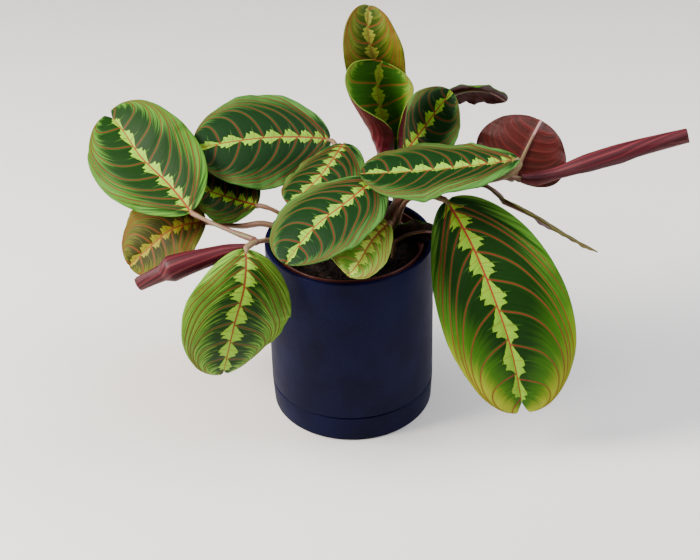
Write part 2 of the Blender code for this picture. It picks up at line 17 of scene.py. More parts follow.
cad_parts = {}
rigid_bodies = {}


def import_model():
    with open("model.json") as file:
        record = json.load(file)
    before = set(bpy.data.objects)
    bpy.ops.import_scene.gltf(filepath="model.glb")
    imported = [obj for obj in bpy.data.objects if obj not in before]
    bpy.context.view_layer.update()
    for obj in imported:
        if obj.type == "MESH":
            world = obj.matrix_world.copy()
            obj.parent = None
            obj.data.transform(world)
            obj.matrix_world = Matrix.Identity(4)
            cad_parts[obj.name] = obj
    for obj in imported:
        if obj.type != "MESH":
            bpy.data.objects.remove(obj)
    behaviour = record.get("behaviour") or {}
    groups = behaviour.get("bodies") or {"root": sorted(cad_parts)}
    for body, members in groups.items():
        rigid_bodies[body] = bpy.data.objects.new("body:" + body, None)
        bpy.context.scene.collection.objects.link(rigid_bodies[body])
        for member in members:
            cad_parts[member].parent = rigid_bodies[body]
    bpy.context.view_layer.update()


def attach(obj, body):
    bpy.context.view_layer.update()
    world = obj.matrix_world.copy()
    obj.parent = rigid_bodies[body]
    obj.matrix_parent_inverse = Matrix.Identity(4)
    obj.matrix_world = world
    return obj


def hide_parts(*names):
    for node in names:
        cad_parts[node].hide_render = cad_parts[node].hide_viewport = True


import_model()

MM = 0.001
Point = tuple[float, float, float]
Pair = tuple[float, float]
Profile = list[Pair]
Faces = list[list[int]] | list[tuple[int, ...]]

log = logging.getLogger("prayer_plant")

# How far the side veins of a leaf's two halves are staggered, as a share of their spacing
SIDE_OFFSET = 0.16
# The feather's reach within one lobe and its taper from the leaf's base to its tip
LOBE_OUTLINE = (
    (0.0, 0.2), (0.1, 0.26), (0.45, 0.84), (0.58, 1.0), (0.63, 0.62), (0.78, 0.9), (0.84, 0.46), (0.94, 0.2),
)
FEATHER_TAPER = ((0.0, 0.45), (0.06, 0.9), (0.3, 1.0), (0.7, 0.9), (0.9, 0.6), (1.0, 0.35))
# Points on each rounded edge of the pot
EDGE_STEPS = 7


# Small helpers


def linear(code: str) -> tuple[float, float, float, float]:
    """Turn an sRGB hex colour into linear RGBA.

    Args:
        code: Six hex digits after a number sign.

    Returns:
        The linear red, green and blue with full alpha.
    """
    parts = [int(code[place:place + 2], 16) / 255 for place in (1, 3, 5)]
    return (*[part / 12.92 if part <= 0.04045 else ((part + 0.055) / 1.055) ** 2.4 for part in parts], 1.0)


def unit(vectors: np.ndarray) -> np.ndarray:
    """Scale vectors to length one."""
    return vectors / np.maximum(np.linalg.norm(vectors, axis=-1, keepdims=True), 1e-12)


def smooth(low: float, high: float, value: np.ndarray) -> np.ndarray:
    """Ease from 0 at low to 1 at high."""
    part = np.clip((value - low) / (high - low), 0, 1)
    return part * part * (3 - 2 * part)


def spline(points: tuple[Point, ...], count: int) -> np.ndarray:
    """Put evenly spaced points on a smooth curve through the given ones.

    Args:
        points: The points that the curve passes through, in millimetres.
        count: How many points to return.

    Returns:
        An array of count points.
    """
    points = np.asarray(points, float)
    if len(points) == 2:
        return points[0] + (points[1] - points[0]) * np.linspace(0, 1, count)[:, None]
    knots = np.concatenate([[0], np.cumsum(np.linalg.norm(np.diff(points, axis=0), axis=1) ** 0.5)])
    step = np.diff(knots)[:, None]
    pace = np.diff(points, axis=0) / step
    inner = (pace[1:] * step[:-1] + pace[:-1] * step[1:]) / (step[1:] + step[:-1])
    slopes = np.vstack([2 * pace[0] - inner[0], inner, 2 * pace[-1] - inner[-1]])
    pieces = []
    for place in range(len(points) - 1):
        part = np.linspace(0, 1, 40, endpoint=place == len(points) - 2)[:, None]
        start = (2 * part**3 - 3 * part**2 + 1) * points[place]
        leave = (part**3 - 2 * part**2 + part) * step[place] * slopes[place]
        end = (3 * part**2 - 2 * part**3) * points[place + 1]
        arrive = (part**3 - part**2) * step[place] * slopes[place + 1]
        pieces.append(start + leave + end + arrive)
    fine = np.concatenate(pieces)
    reach = np.concatenate([[0], np.cumsum(np.linalg.norm(np.diff(fine, axis=0), axis=1))])
    wanted = np.linspace(0, reach[-1], count)
    return np.stack([np.interp(wanted, reach, fine[:, axis]) for axis in range(3)], axis=-1)


def placed(mesh: bpy.types.Mesh) -> bpy.types.Object:
    """Put a mesh into the scene as an object of the same name.

    Args:
        mesh: The mesh.

    Returns:
        The new object.
    """
    piece = bpy.data.objects.new(mesh.name, mesh)
    bpy.context.scene.collection.objects.link(piece)
    return piece


def carry(mesh: bpy.types.Mesh, name: str, values: np.ndarray) -> None:
    """Store one vector for each point of a mesh, for its materials to read.

    Args:
        mesh: The mesh.
        name: The name that the materials read.
        values: The vectors, in the order of the mesh's points.
    """
    layer = mesh.attributes.new(name, "FLOAT_VECTOR", "POINT")
    layer.data.foreach_set("vector", values.astype(np.float32).ravel())


# Materials


class Kind(Enum):
    """The kinds of node that the materials use, each with the setting that makes it what it is."""

    PLUS = ("Math", "operation", "ADD")
    MINUS = ("Math", "operation", "SUBTRACT")
    TIMES = ("Math", "operation", "MULTIPLY")
    TIMES_PLUS = ("Math", "operation", "MULTIPLY_ADD")
    ABOVE = ("Math", "operation", "GREATER_THAN")
    PART = ("Math", "operation", "FRACT")
    SIZE = ("Math", "operation", "ABSOLUTE")
    EASE = ("MapRange", "interpolation_type", "SMOOTHSTEP")
    BLEND = ("Mix", "data_type", "RGBA")
    JOIN = ("CombineXYZ", "label", "")
    SPLIT = ("SeparateXYZ", "label", "")
    NOISE = ("TexNoise", "noise_dimensions", "3D")
    CELLS = ("TexVoronoi", "feature", "F1")
    BUMP = ("Bump", "label", "")
    STOPS = ("ValToRGB", "label", "")
    CARRIED = ("Attribute", "attribute_type", "GEOMETRY")
    PLACE = ("TexCoord", "label", "")


(
    PLUS, MINUS, TIMES, TIMES_PLUS, ABOVE, PART, SIZE, EASE, BLEND,
    JOIN, SPLIT, NOISE, CELLS, BUMP, STOPS, CARRIED, PLACE,
) = Kind
Feed = float | str | tuple | bpy.types.Node | bpy.types.NodeSocket


class Sheet:
    """A material under construction."""

    def __init__(self, name: str) -> None:
        """Start a material that has only its shader and output.

        Args:
            name: The material's name.
        """
        self.material = bpy.data.materials.new(name)
        self.material.use_nodes = True
        self.tree = self.material.node_tree
        self.shader = self.tree.nodes["Principled BSDF"]

    def feed(self, node: bpy.types.Node, socket: int | str, value: Feed) -> None:
        """Set an input of a node, or link it.

        Args:
            node: The node that has the input.
            socket: The input's number, or its name with underscores for the spaces.
            value: A number, a vector or a hex colour to set, or a node or output to link from.
        """
        target = node.inputs[socket.replace("_", " ") if isinstance(socket, str) else socket]
        if isinstance(value, bpy.types.Node):
            value = next(output for output in value.outputs if output.enabled)
        if isinstance(value, bpy.types.NodeSocket):
            self.tree.links.new(value, target)
        else:
            target.default_value = linear(value) if isinstance(value, str) else value

    def add(self, kind: Kind, *values: Feed, **named: Feed) -> bpy.types.Node:
        """Add a node with its settings and links.

        Args:
            kind: The kind of node.
            values: What its inputs in use are fed with, in their order.
            named: More inputs by their names, and settings by their small names.

        Returns:
            The new node.
        """
        word, setting, choice = kind.value
        made = self.tree.nodes.new("ShaderNode" + word)
        setattr(made, setting, choice)
        in_use = [place for place, socket in enumerate(made.inputs) if socket.enabled]
        for place, value in zip(in_use, values):
            self.feed(made, place, value)
        for name, value in named.items():
            if name.islower():
                setattr(made, name, value)
            else:
                self.feed(made, name, value)
        return made

    def field(self, name: str) -> tuple[bpy.types.NodeSocket, ...]:
        """Return the three numbers of a vector that the mesh carries."""
        carried = self.add(CARRIED, attribute_name=name)
        return tuple(self.add(SPLIT, carried.outputs["Vector"]).outputs)

    def look_up(self, value: Feed, stops: tuple[Pair, ...]) -> bpy.types.Node:
        """Look a value between 0 and 1 up in a line of stops.

        Args:
            value: The value to look up.
            stops: Places between 0 and 1 with the height at each.

        Returns:
            The node that gives the height.
        """
        made = self.add(STOPS, value)
        line = made.color_ramp
        while len(line.elements) < len(stops):
            line.elements.new(0.5)
        for element, (place, height) in zip(line.elements, stops):
            element.position = place
            element.color = (height, height, height, 1.0)
        return made

    def finish(self, **values: Feed) -> bpy.types.Material:
        """Feed the shader's inputs.

        Args:
            values: What to feed them with, by their names with underscores for the spaces.

        Returns:
            The material.
        """
        for name, value in values.items():
            self.feed(self.shader, name, value)
        return self.material


class LeafChart:
    """Where a point lies on its leaf, as the outputs that a leaf's materials work from.

    Every blade's mesh carries these: millimetres from the midrib, share of the way to the tip and to
    the edge, count of side veins from the base with their spacing, and the feather's width and lobes.
    """

    def __init__(self, sheet: Sheet) -> None:
        """Read what the mesh carries.

        Args:
            sheet: The material that the chart is for.
        """
        self.sheet = sheet
        self.across, self.along, self.spread = sheet.field("leaf_place")
        self.count, self.gap, self.lobe = sheet.field("leaf_veins")
        self.width, self.seed, _ = sheet.field("leaf_seed")
        self.side = sheet.add(ABOVE, self.across, 0.0)
        self.offset = sheet.add(TIMES, self.side, SIDE_OFFSET)
        self.away = sheet.add(SIZE, self.across)

    def grain(self, turns: Feed, ribs: float, stretch: float) -> bpy.types.Node:
        """Add a noise that runs along the side veins.

        Args:
            turns: The count of side veins at each point.
            ribs: How many streaks lie between two side veins.
            stretch: How many lengths of streak lie between the midrib and the edge.

        Returns:
            The noise, between 0 and 1.
        """
        add = self.sheet.add
        where = add(JOIN, add(TIMES, turns, ribs), add(TIMES, self.spread, stretch), self.seed)
        return add(NOISE, where, 1.0, 3.0, 0.6)

    def from_vein(self, turns: Feed) -> bpy.types.Node:
        """Work out how many millimetres each point lies from its side vein.

        Args:
            turns: The count of side veins at each point.

        Returns:
            The distance.
        """
        add = self.sheet.add
        middle = add(SIZE, add(MINUS, add(PART, turns), 0.5))
        return add(TIMES, add(MINUS, 0.5, middle), self.gap)


@dataclass(frozen=True)
class LeafSkin:
    """The living skin of one kind of prayer plant leaf: upper face, underside and veins."""

    name: str
    dark: str = "#072404"
    middle: str = "#1d4a09"
    pale: str = "#5a8a2e"
    feather: str = "#86b428"
    vein: str = "#621318"
    midrib: str = "#842a22"
    rim: str = "#3f6e1a"
    under: str = "#5a101c"
    under_shade: str = "#2a0a0c"
    under_vein: str = "#8c3a3c"
    under_rib: str = "#a97f78"
    fading: str = "#3f700f"
    faded: str = "#97a020"
    dark_reach: float = 0.86
    dark_edge: float = 0.34
    streaks: float = 0.75
    yellow: float = 0.0
    vein_half: float = 0.46
    rib_half: float = 0.8
    under_rib_half: float = 1.1
    ior: float = 1.43
    upper_shine: float = 0.12
    under_shine: float = 0.3

    def upper(self) -> bpy.types.Material:
        """Make the patterned upper face.

        Returns:
            The material of the upper face.
        """
        # A waxy cuticle over bulging cells: a satin face that looks quilted, softened by inner light
        sheet = Sheet("Leaf cuticle, " + self.name)
        add, chart = sheet.add, LeafChart(sheet)
        drift = add(NOISE, add(JOIN, add(TIMES, chart.across, 0.012), chart.along, chart.seed), 2.6)
        wobble = add(TIMES, add(MINUS, drift, 0.5), 0.2)
        shift = add(PLUS, chart.offset, wobble)
        turns = add(PLUS, add(PLUS, chart.count, chart.offset), wobble)
        # Streaks are about 1 mm across and 12 mm long, as on the real leaf
        streak = chart.grain(turns, 12.0, 2.0)
        colour = self.ground(chart, turns, streak)
        colour = self.plume(chart, colour, turns, shift, streak)
        colour = self.veined(chart, colour, turns)
        # Fine ribs between the veins, about 0.5 mm apart
        fine = add(NOISE, add(JOIN, add(TIMES, turns, 26.0), chart.spread, chart.seed), 1.0, 1.0)
        normal = add(BUMP, Height=fine, Distance=0.05 * MM)
        normal = add(BUMP, Height=streak, Distance=0.25 * MM, Normal=normal)
        gloss = add(TIMES_PLUS, streak, 0.2, 0.42)
        sheet.finish(Base_Color=colour, Roughness=gloss, Normal=normal)
        sheet.finish(IOR=self.ior, Specular_IOR_Level=self.upper_shine)
        return sheet.finish(Subsurface_Weight=0.05, Subsurface_Radius=(0.6, 1.0, 0.2), Subsurface_Scale=MM)

    def ground(self, chart: LeafChart, turns: Feed, streak: Feed) -> bpy.types.Node:
        """Colour the leaf below its feather and veins: dark panels inside, streaked green outside.

        Args:
            chart: Where each point lies.
            turns: The count of side veins at each point.
            streak: The streaks along the veins.

        Returns:
            The colour.
        """
        add = chart.sheet.add
        patch = add(NOISE, add(JOIN, turns, add(TIMES, chart.spread, 1.5), chart.seed), 1.3, 2.0)
        reach = add(PLUS, chart.spread, add(TIMES, add(MINUS, streak, 0.5), 0.55))
        reach = add(PLUS, reach, add(TIMES, add(MINUS, patch, 0.5), 0.3))
        dark = add(EASE, reach, self.dark_reach, self.dark_reach - self.dark_edge)
        light = add(EASE, add(PLUS, streak, add(TIMES, chart.spread, 0.26)), 0.56, 0.8)
        outer = add(BLEND, add(TIMES, light, self.streaks), self.middle, self.pale)
        panel = add(BLEND, add(TIMES, streak, 0.35), self.dark, self.middle)
        colour = add(BLEND, dark, outer, panel)
        colour = add(BLEND, add(TIMES, add(EASE, chart.spread, 0.9, 1.0), 0.55), colour, self.rim)
        if not self.yellow:
            return colour
        age = add(TIMES_PLUS, chart.spread, 0.5, add(TIMES, chart.along, 0.75))
        age = add(PLUS, age, add(TIMES, add(MINUS, streak, 0.5), 0.22))
        age = add(PLUS, age, add(TIMES, chart.side, 0.06))
        colour = add(BLEND, add(TIMES, add(EASE, age, 0.6, 0.95), 0.8), colour, self.fading)
        return add(BLEND, add(TIMES, add(EASE, age, 0.86, 1.14), self.yellow), colour, self.faded)

    def plume(self, chart: LeafChart, colour: Feed, turns: Feed, shift: Feed, streak: Feed) -> bpy.types.Node:
        """Lay the pale feather over the leaf: lobes that widen towards the tip and end in teeth.

        Args:
            chart: Where each point lies.
            colour: The leaf's colour without the feather.
            turns: The count of side veins at each point.
            shift: How far the lobes lie from their vein count.
            streak: The streaks along the veins.

        Returns:
            The colour with the feather.
        """
        add = chart.sheet.add
        lobes = add(PART, add(PLUS, chart.lobe, shift))
        outline = chart.sheet.look_up(lobes, LOBE_OUTLINE)
        taper = chart.sheet.look_up(chart.along, FEATHER_TAPER)
        ragged = add(NOISE, add(JOIN, add(TIMES, turns, 3.0), chart.away, chart.seed), 1.0, 2.0)
        limit = add(TIMES, add(TIMES, outline, taper), chart.width)
        limit = add(TIMES, limit, add(TIMES_PLUS, ragged, 0.5, 0.75))
        beyond = add(MINUS, chart.away, limit)
        feather = add(EASE, beyond, 0.25, -0.2)
        tone = add(BLEND, add(EASE, streak, 0.4, 0.9), self.feather, self.pale)
        colour = add(BLEND, feather, colour, tone)
        # A thin red line in the middle of every lobe, and its pale end in the dark panel
        inner = add(SIZE, add(MINUS, lobes, 0.45))
        thread = add(EASE, add(TIMES, inner, chart.gap), 0.32, 0.1)
        colour = add(BLEND, add(TIMES, thread, add(TIMES, feather, 0.6)), colour, self.vein)
        end = add(TIMES, add(TIMES, thread, add(EASE, beyond, 6.0, 0.0)), add(MINUS, 1.0, feather))
        return add(BLEND, add(TIMES, end, 0.45), colour, self.pale)

    def veined(self, chart: LeafChart, colour: Feed, turns: Feed) -> bpy.types.Node:
        """Draw the midrib and the side veins, which thin out towards the edge and end before it.

        Args:
            chart: Where each point lies.
            colour: The leaf's colour without the veins.
            turns: The count of side veins at each point.

        Returns:
            The colour with the veins.
        """
        add = chart.sheet.add
        half = add(TIMES_PLUS, chart.spread, -0.18, self.vein_half)
        outside = add(MINUS, chart.from_vein(turns), half)
        vein = add(TIMES, add(EASE, outside, 0.22, -0.22), add(EASE, chart.spread, 1.0, 0.9))
        colour = add(BLEND, add(TIMES, add(EASE, outside, 1.0, 0.1), 0.3), colour, self.rim)
        colour = add(BLEND, add(TIMES, vein, 0.88), colour, self.vein)
        rib_half = add(TIMES_PLUS, chart.along, -0.5, self.rib_half)
        rib = add(EASE, add(MINUS, chart.away, rib_half), 0.22, -0.22)
        return add(BLEND, add(TIMES, rib, 0.95), colour, self.midrib)

    def lower(self) -> bpy.types.Material:
        """Make the wine-red underside with its paler ribs.

        Returns:
            The material of the underside.
        """
        # Bare waxy skin without the upper face's bulges: smoother, with a clearer satin shine
        sheet = Sheet("Leaf underside, " + self.name)
        add, chart = sheet.add, LeafChart(sheet)
        turns = add(PLUS, chart.count, chart.offset)
        streak = chart.grain(turns, 6.0, 2.0)
        colour = add(BLEND, add(EASE, streak, 0.35, 0.75), self.under, self.under_shade)
        vein = add(TIMES, add(EASE, chart.from_vein(turns), 0.75, 0.3), add(EASE, chart.spread, 1.0, 0.6))
        colour = add(BLEND, add(TIMES, vein, 0.4), colour, self.under_vein)
        rib_half = add(TIMES_PLUS, chart.along, -0.5, self.under_rib_half)
        rib = add(EASE, add(MINUS, chart.away, rib_half), 0.3, -0.3)
        colour = add(BLEND, rib, colour, self.under_rib)
        fine = add(NOISE, add(JOIN, add(TIMES, turns, 22.0), chart.spread, chart.seed), 1.0, 1.0)
        normal = add(BUMP, Height=streak, Distance=0.3 * MM)
        normal = add(BUMP, Height=fine, Distance=0.08 * MM, Normal=normal)
        gloss = add(TIMES_PLUS, streak, 0.2, 0.34)
        sheet.finish(IOR=self.ior, Specular_IOR_Level=self.under_shine)
        return sheet.finish(Base_Color=colour, Roughness=gloss, Normal=normal)


@dataclass(frozen=True)
class StalkSkin:
    """The smooth skin of a leaf stalk, brownish pink and greener in patches."""

    name: str = "Leaf stalk skin"
    low: str = "#6a3f34"
    high: str = "#8c6a4c"
    green: str = "#5f6a34"
    groove: str = "#3a221a"
    ior: float = 1.43

    def make(self) -> bpy.types.Material:
        """Make the stalk's material.

        Returns:
            The finished material.
        """
        # Ribs about 0.5 mm apart run the length of the stalk and draw its shine out into lines
        sheet = Sheet(self.name)
        add = sheet.add
        around, reach, along = sheet.field("stem_place")
        ribs = add(NOISE, add(JOIN, add(TIMES, around, 5.0), add(TIMES, reach, 0.06), 0.0), 2.0, 2.0)
        patch = add(NOISE, add(JOIN, around, add(TIMES, reach, 0.05), 3.0), 1.6, 3.0)
        colour = add(BLEND, add(EASE, along, 0.1, 0.9), self.low, self.high)
        colour = add(BLEND, add(EASE, patch, 0.45, 0.7), colour, self.green)
        colour = add(BLEND, add(TIMES, ribs, 0.3), colour, self.groove)
        sheet.finish(Base_Color=colour, Roughness=add(TIMES_PLUS, ribs, 0.2, 0.38), IOR=self.ior)
        normal = add(BUMP, Height=ribs, Distance=0.12 * MM)
        return sheet.finish(Normal=normal, Subsurface_Weight=0.08, Subsurface_Scale=0.0015)


@dataclass(frozen=True)
class MatteGlaze:
    """Dipped matte navy stoneware glaze, with a faint mottle and fine dimples."""

    name: str = "Matte stoneware glaze, navy"
    body: str = "#06082c"
    deep: str = "#040522"
    speck: str = "#34365c"
    mottle_scale: float = 38.0
    dimple_scale: float = 900.0
    speck_scale: float = 420.0
    ior: float = 1.5
    shine: float = 0.07

    def make(self) -> bpy.types.Material:
        """Make the glaze.

        Returns:
            The finished material.
        """
        # Fine crystals in the glaze scatter the light: an even, soft sheen with no clear reflection
        sheet = Sheet(self.name)
        add = sheet.add
        where = add(PLACE).outputs["Object"]
        mottle = add(NOISE, where, self.mottle_scale, 4.0)
        # Glaze dimples are about 0.8 mm apart; drawn half as many again as wide so that they show
        dimple = add(NOISE, where, self.dimple_scale, 2.0)
        speck = add(CELLS, Vector=where, Scale=self.speck_scale)
        colour = add(BLEND, add(EASE, mottle, 0.3, 0.7), self.body, self.deep)
        colour = add(BLEND, add(TIMES, add(EASE, speck, 0.16, 0.06), 0.25), colour, self.speck)
        normal = add(BUMP, Height=mottle, Distance=0.35 * MM)
        normal = add(BUMP, Height=dimple, Distance=0.05 * MM, Normal=normal)
        gloss = add(TIMES_PLUS, mottle, 0.16, 0.46)
        sheet.finish(IOR=self.ior, Specular_IOR_Level=self.shine)
        return sheet.finish(Base_Color=colour, Roughness=gloss, Normal=normal)


@dataclass(frozen=True)
class NurseryPlastic:
    """Injection-moulded polypropylene of a nursery pot, red-brown and thin."""

    name: str = "Moulded polypropylene, red-brown"
    body: str = "#4a211a"
    dust: str = "#6b4a3a"
    scuff_scale: float = 140.0
    ior: float = 1.49

    def make(self) -> bpy.types.Material:
        """Make the plastic.

        Returns:
            The finished material.
        """
        # A smooth mould leaves a soft gloss, which scuffs and dried dust from the soil break up
        sheet = Sheet(self.name)
        add = sheet.add
        scuff = add(NOISE, add(PLACE).outputs["Object"], self.scuff_scale, 4.0, 0.65)
        colour = add(BLEND, add(TIMES, add(EASE, scuff, 0.5, 0.75), 0.6), self.body, self.dust)
        gloss = add(TIMES_PLUS, scuff, 0.3, 0.22)
        normal = add(BUMP, Height=scuff, Distance=0.08 * MM)
        return sheet.finish(Base_Color=colour, Roughness=gloss, IOR=self.ior, Normal=normal)


@dataclass(frozen=True)
class PottingMix:
    """Damp peat potting mix: crumbs of 1 to 4 mm with brown fibre and a few pale grains."""

    name: str = "Damp peat potting mix"
    wet: str = "#0b0705"
    fibre: str = "#2c1a10"
    grain: str = "#8b7d6c"
    clod_scale: float = 330.0
    grain_scale: float = 1100.0
    shine: float = 0.12

    def make(self) -> bpy.types.Material:
        """Make the soil.

        Returns:
            The finished material.
        """
        # Water darkens the peat to nearly black and takes its shine away but for a few pale grains
        sheet = Sheet(self.name)
        add = sheet.add
        where = add(PLACE).outputs["Object"]
        clod = add(NOISE, where, self.clod_scale, 5.0, 0.65)
        speck = add(NOISE, where, self.grain_scale, 2.0)
        colour = add(BLEND, add(EASE, clod, 0.45, 0.75), self.wet, self.fibre)
        colour = add(BLEND, add(TIMES, add(EASE, speck, 0.7, 0.78), 0.7), colour, self.grain)
        normal = add(BUMP, Height=speck, Distance=0.3 * MM)
        normal = add(BUMP, Height=clod, Distance=1.2 * MM, Normal=normal)
        gloss = add(TIMES_PLUS, speck, 0.5, 0.45)
        return sheet.finish(Base_Color=colour, Roughness=gloss, Normal=normal, Specular_IOR_Level=self.shine)


class Coat(Enum):
    """The kinds of leaf skin on this plant."""

    FRESH = LeafSkin("fresh")
    DEEP = LeafSkin(
        "deep green",
        dark="#07230a",
        middle="#17400e",
        pale="#56843c",
        rim="#3c6a24",
        dark_reach=0.95,
    )
    MATURE = LeafSkin("mature", middle="#2c5a0e", pale="#7aa336", rim="#5c8624", dark_reach=0.6, streaks=0.95)
    OLIVE = LeafSkin(
        "olive",
        dark="#262806",
        middle="#3e420c",
        pale="#6a6c20",
        feather="#8a861e",
        vein="#73331a",
        midrib="#844020",
        rim="#54561a",
        dark_reach=0.6,
    )
    OLIVE_GREEN = LeafSkin(
        "olive green",
        dark="#263f08",
        middle="#44500e",
        pale="#6c7420",
        feather="#8e9234",
        vein="#7a3a1c",
        midrib="#9c7a3a",
        rim="#5e621a",
        dark_reach=0.55,
    )
    OPENING = LeafSkin(
        "opening",
        dark="#1f4a0a",
        middle="#3c6412",
        pale="#728f30",
        feather="#88a030",
        vein="#84401e",
        midrib="#8e7a34",
        rim="#5f7a24",
        under="#5c0f22",
        dark_reach=0.8,
    )
    ROLLED = LeafSkin("rolled", pale="#8a7c1c", middle="#5a5210", under="#480c1a", under_shade="#2a0a10")
    BROWNISH = LeafSkin("brownish underside", under="#4c1210", under_shade="#2a1206", under_vein="#642822")
    LIME = LeafSkin(
        "lime",
        dark="#3f7016",
        middle="#749c2a",
        pale="#a3bc50",
        feather="#aeca40",
        vein="#924a30",
        midrib="#9a5634",
        rim="#92b040",
        dark_reach=0.62,
    )
    AGEING = LeafSkin("ageing at the edge", yellow=0.95, vein="#7c1c22", midrib="#9a2430", dark_reach=0.98)
    # Painted shade: the underside colours are darkened to near black for the low leaf, which sits in deep
    # shade in the pot's mouth
    SHADED = LeafSkin("shaded", under="#1c0f0a", under_shade="#0c0705", under_vein="#3c2a1c")


# Leaves


@dataclass(frozen=True)
class Leaf:
    """One leaf: its stalk, its midrib from base to tip and how the blade spreads from it.

    Pairs give the left and then the right half, seen from the base with the upper face up. Fold and
    curl are degrees. Wrapped is the share of the length that is still closed, notch is the depth of
    the tip's notch, and a roll gives (place, radius, turns) along a leaf that hasn't opened.
    """

    name: str
    midrib: tuple[Point, ...]
    face: Point
    width: float = 0.0
    face_at_tip: tuple[float, ...] = ()
    fold: Pair = (5, 5)
    curl: Pair = (-25, -25)
    curl_at_tip: tuple[float, ...] = ()
    wrapped: float = 0.0
    notch: float = 0.0
    share: Pair = (1.0, 1.0)
    widest: float = 0.5
    bluntness: float = 0.52
    wave: float = 1.2
    waves: float = 3.2
    roll: tuple[Point, ...] = ()
    stalk: tuple[Point, ...] = ()
    stalk_radius: float = 1.5
    coat: Coat = Coat.FRESH
    veins: float = 8.0
    sheath: float = 0.35
    feather: float = 5.4


LEFT_SHOOT = (
    Leaf(
        "low_left",
        notch=3.0,
        midrib=((-61, -44, 142), (-62, -61, 127), (-69, -67, 104), (-79, -57, 60)),
        face=(0.2, -0.91, 0.35),
        face_at_tip=(0.3, -0.88, 0.35),
        width=68,
        fold=(-4, 6),
        curl=(-28, -22),
        share=(1.08, 0.92),
        stalk=((-22, -6, 98), (-27, -12, 120), (-40, -26, 136), (-56, -37, 142), (-61, -44, 142)),
        stalk_radius=1.8,
        coat=Coat.MATURE,
        feather=7.6,
    ),
    Leaf(
        "far_left",
        notch=6.0,
        midrib=((-96, -1, 142), (-111, 22, 149), (-130, 43, 158), (-142, 61, 167), (-153, 77, 171)),
        face=(-0.28, -0.38, 0.88),
        width=67,
        fold=(14, 14),
        curl=(-16, -24),
        share=(0.97, 1.03),
        widest=0.53,
        bluntness=0.47,
        stalk=((-56, -34, 142), (-78, -16, 141), (-96, -1, 142)),
    ),
    Leaf(
        "left_rolled",
        midrib=((-60, -38, 140), (-80, -41, 136), (-104, -44, 130), (-126, -44, 120)),
        face=(0, -0.6, 0.8),
        roll=((0, 1.2, 1.1), (0.2, 2.8, 1.4), (0.68, 6.2, 1.5), (0.76, 3.8, 1.2), (1, 3.4, 1.1)),
        stalk=((-54, -35, 142), (-60, -38, 140)),
        coat=Coat.ROLLED,
    ),
)
OLIVE_LEAF = Leaf(
    "olive",
    midrib=((-90, 20, 122), (-111, 18, 119), (-125, 13, 110), (-140, 10, 97)),
    face=(-0.1, -0.62, 0.78),
    width=54,
    fold=(12, 12),
    curl=(-24, -24),
    stalk=((-34, 6, 98), (-40, 10, 119), (-53, 13, 124), (-68, 16, 121), (-90, 20, 122)),
    coat=Coat.OLIVE,
    sheath=0.8,
)
SMALL_LEFT_LEAF = Leaf(
    "small_left",
    midrib=((-57, 24, 131), (-70, 28, 133), (-83, 30, 137), (-96, 32, 141)),
    face=(0.1, -0.5, 0.85),
    width=48,
    fold=(12, 4),
    curl=(-28, -34),
    share=(0.8, 1.2),
    stalk=((-27, 17, 98), (-36, 18, 121), (-46, 20, 129), (-57, 24, 131)),
    veins=6.0,
)
BACK_LEFT_LEAF = Leaf(
    "back_left",
    midrib=((-10, 60, 157), (-39, 54, 163), (-67, 49, 164), (-97, 46, 160)),
    face=(0, -0.52, 0.85),
    width=70,
    curl=(-26, -22),
    stalk=((-13, 27, 98), (-9, 36, 125), (-4, 50, 149), (-10, 60, 157)),
    coat=Coat.DEEP,
)
MIDDLE_LEAF = Leaf(
    "middle",
    midrib=((-2, 38, 166), (-9, 24, 162), (-19, 10, 156), (-36, -6, 149)),
    face=(-0.27, -0.51, 0.82),
    width=54,
    fold=(10, -5),
    curl=(-26, -42),
    stalk=((-3, 16, 98), (3, 24, 125), (4, 36, 154), (-2, 38, 166)),
    coat=Coat.DEEP,
)
FRONT_LEAF = Leaf(
    "front",
    midrib=((16, -8, 166), (-1, -27, 162), (-20, -41, 154), (-37, -60, 141)),
    face=(-0.07, -0.33, 0.94),
    width=63,
    fold=(14, 2),
    curl=(-20, -38),
    share=(0.96, 1.04),
    stalk=((4, 0, 98), (12, 1, 130), (18, -1, 154), (16, -8, 166)),
    coat=Coat.DEEP,
)
YOUNG_LEAF = Leaf(
    "young",
    midrib=((24, -26, 146), (13, -40, 142), (6, -54, 138), (-1, -66, 136)),
    face=(-0.15, -0.85, 0.5),
    width=40,
    fold=(9, 4),
    curl=(-33, -42),
    share=(0.7, 1.3),
    stalk=((16, -17, 98), (22, -17, 122), (25, -19, 140), (24, -26, 146)),
    coat=Coat.LIME,
    veins=6.0,
)
LOW_LEAF = Leaf(
    "low",
    midrib=((29, -4, 120), (37, -8, 127), (46, -12, 131), (55, -17, 133)),
    face=(-0.1, 0.95, 0.1),
    width=22,
    share=(0.8, 1.0),
    stalk=((26, -4, 98), (27, -4, 109), (29, -4, 120)),
    stalk_radius=1.2,
    # Its underside faces the viewer and carries the near-black painted shade of the shaded coat
    coat=Coat.SHADED,
    veins=5.0,
)
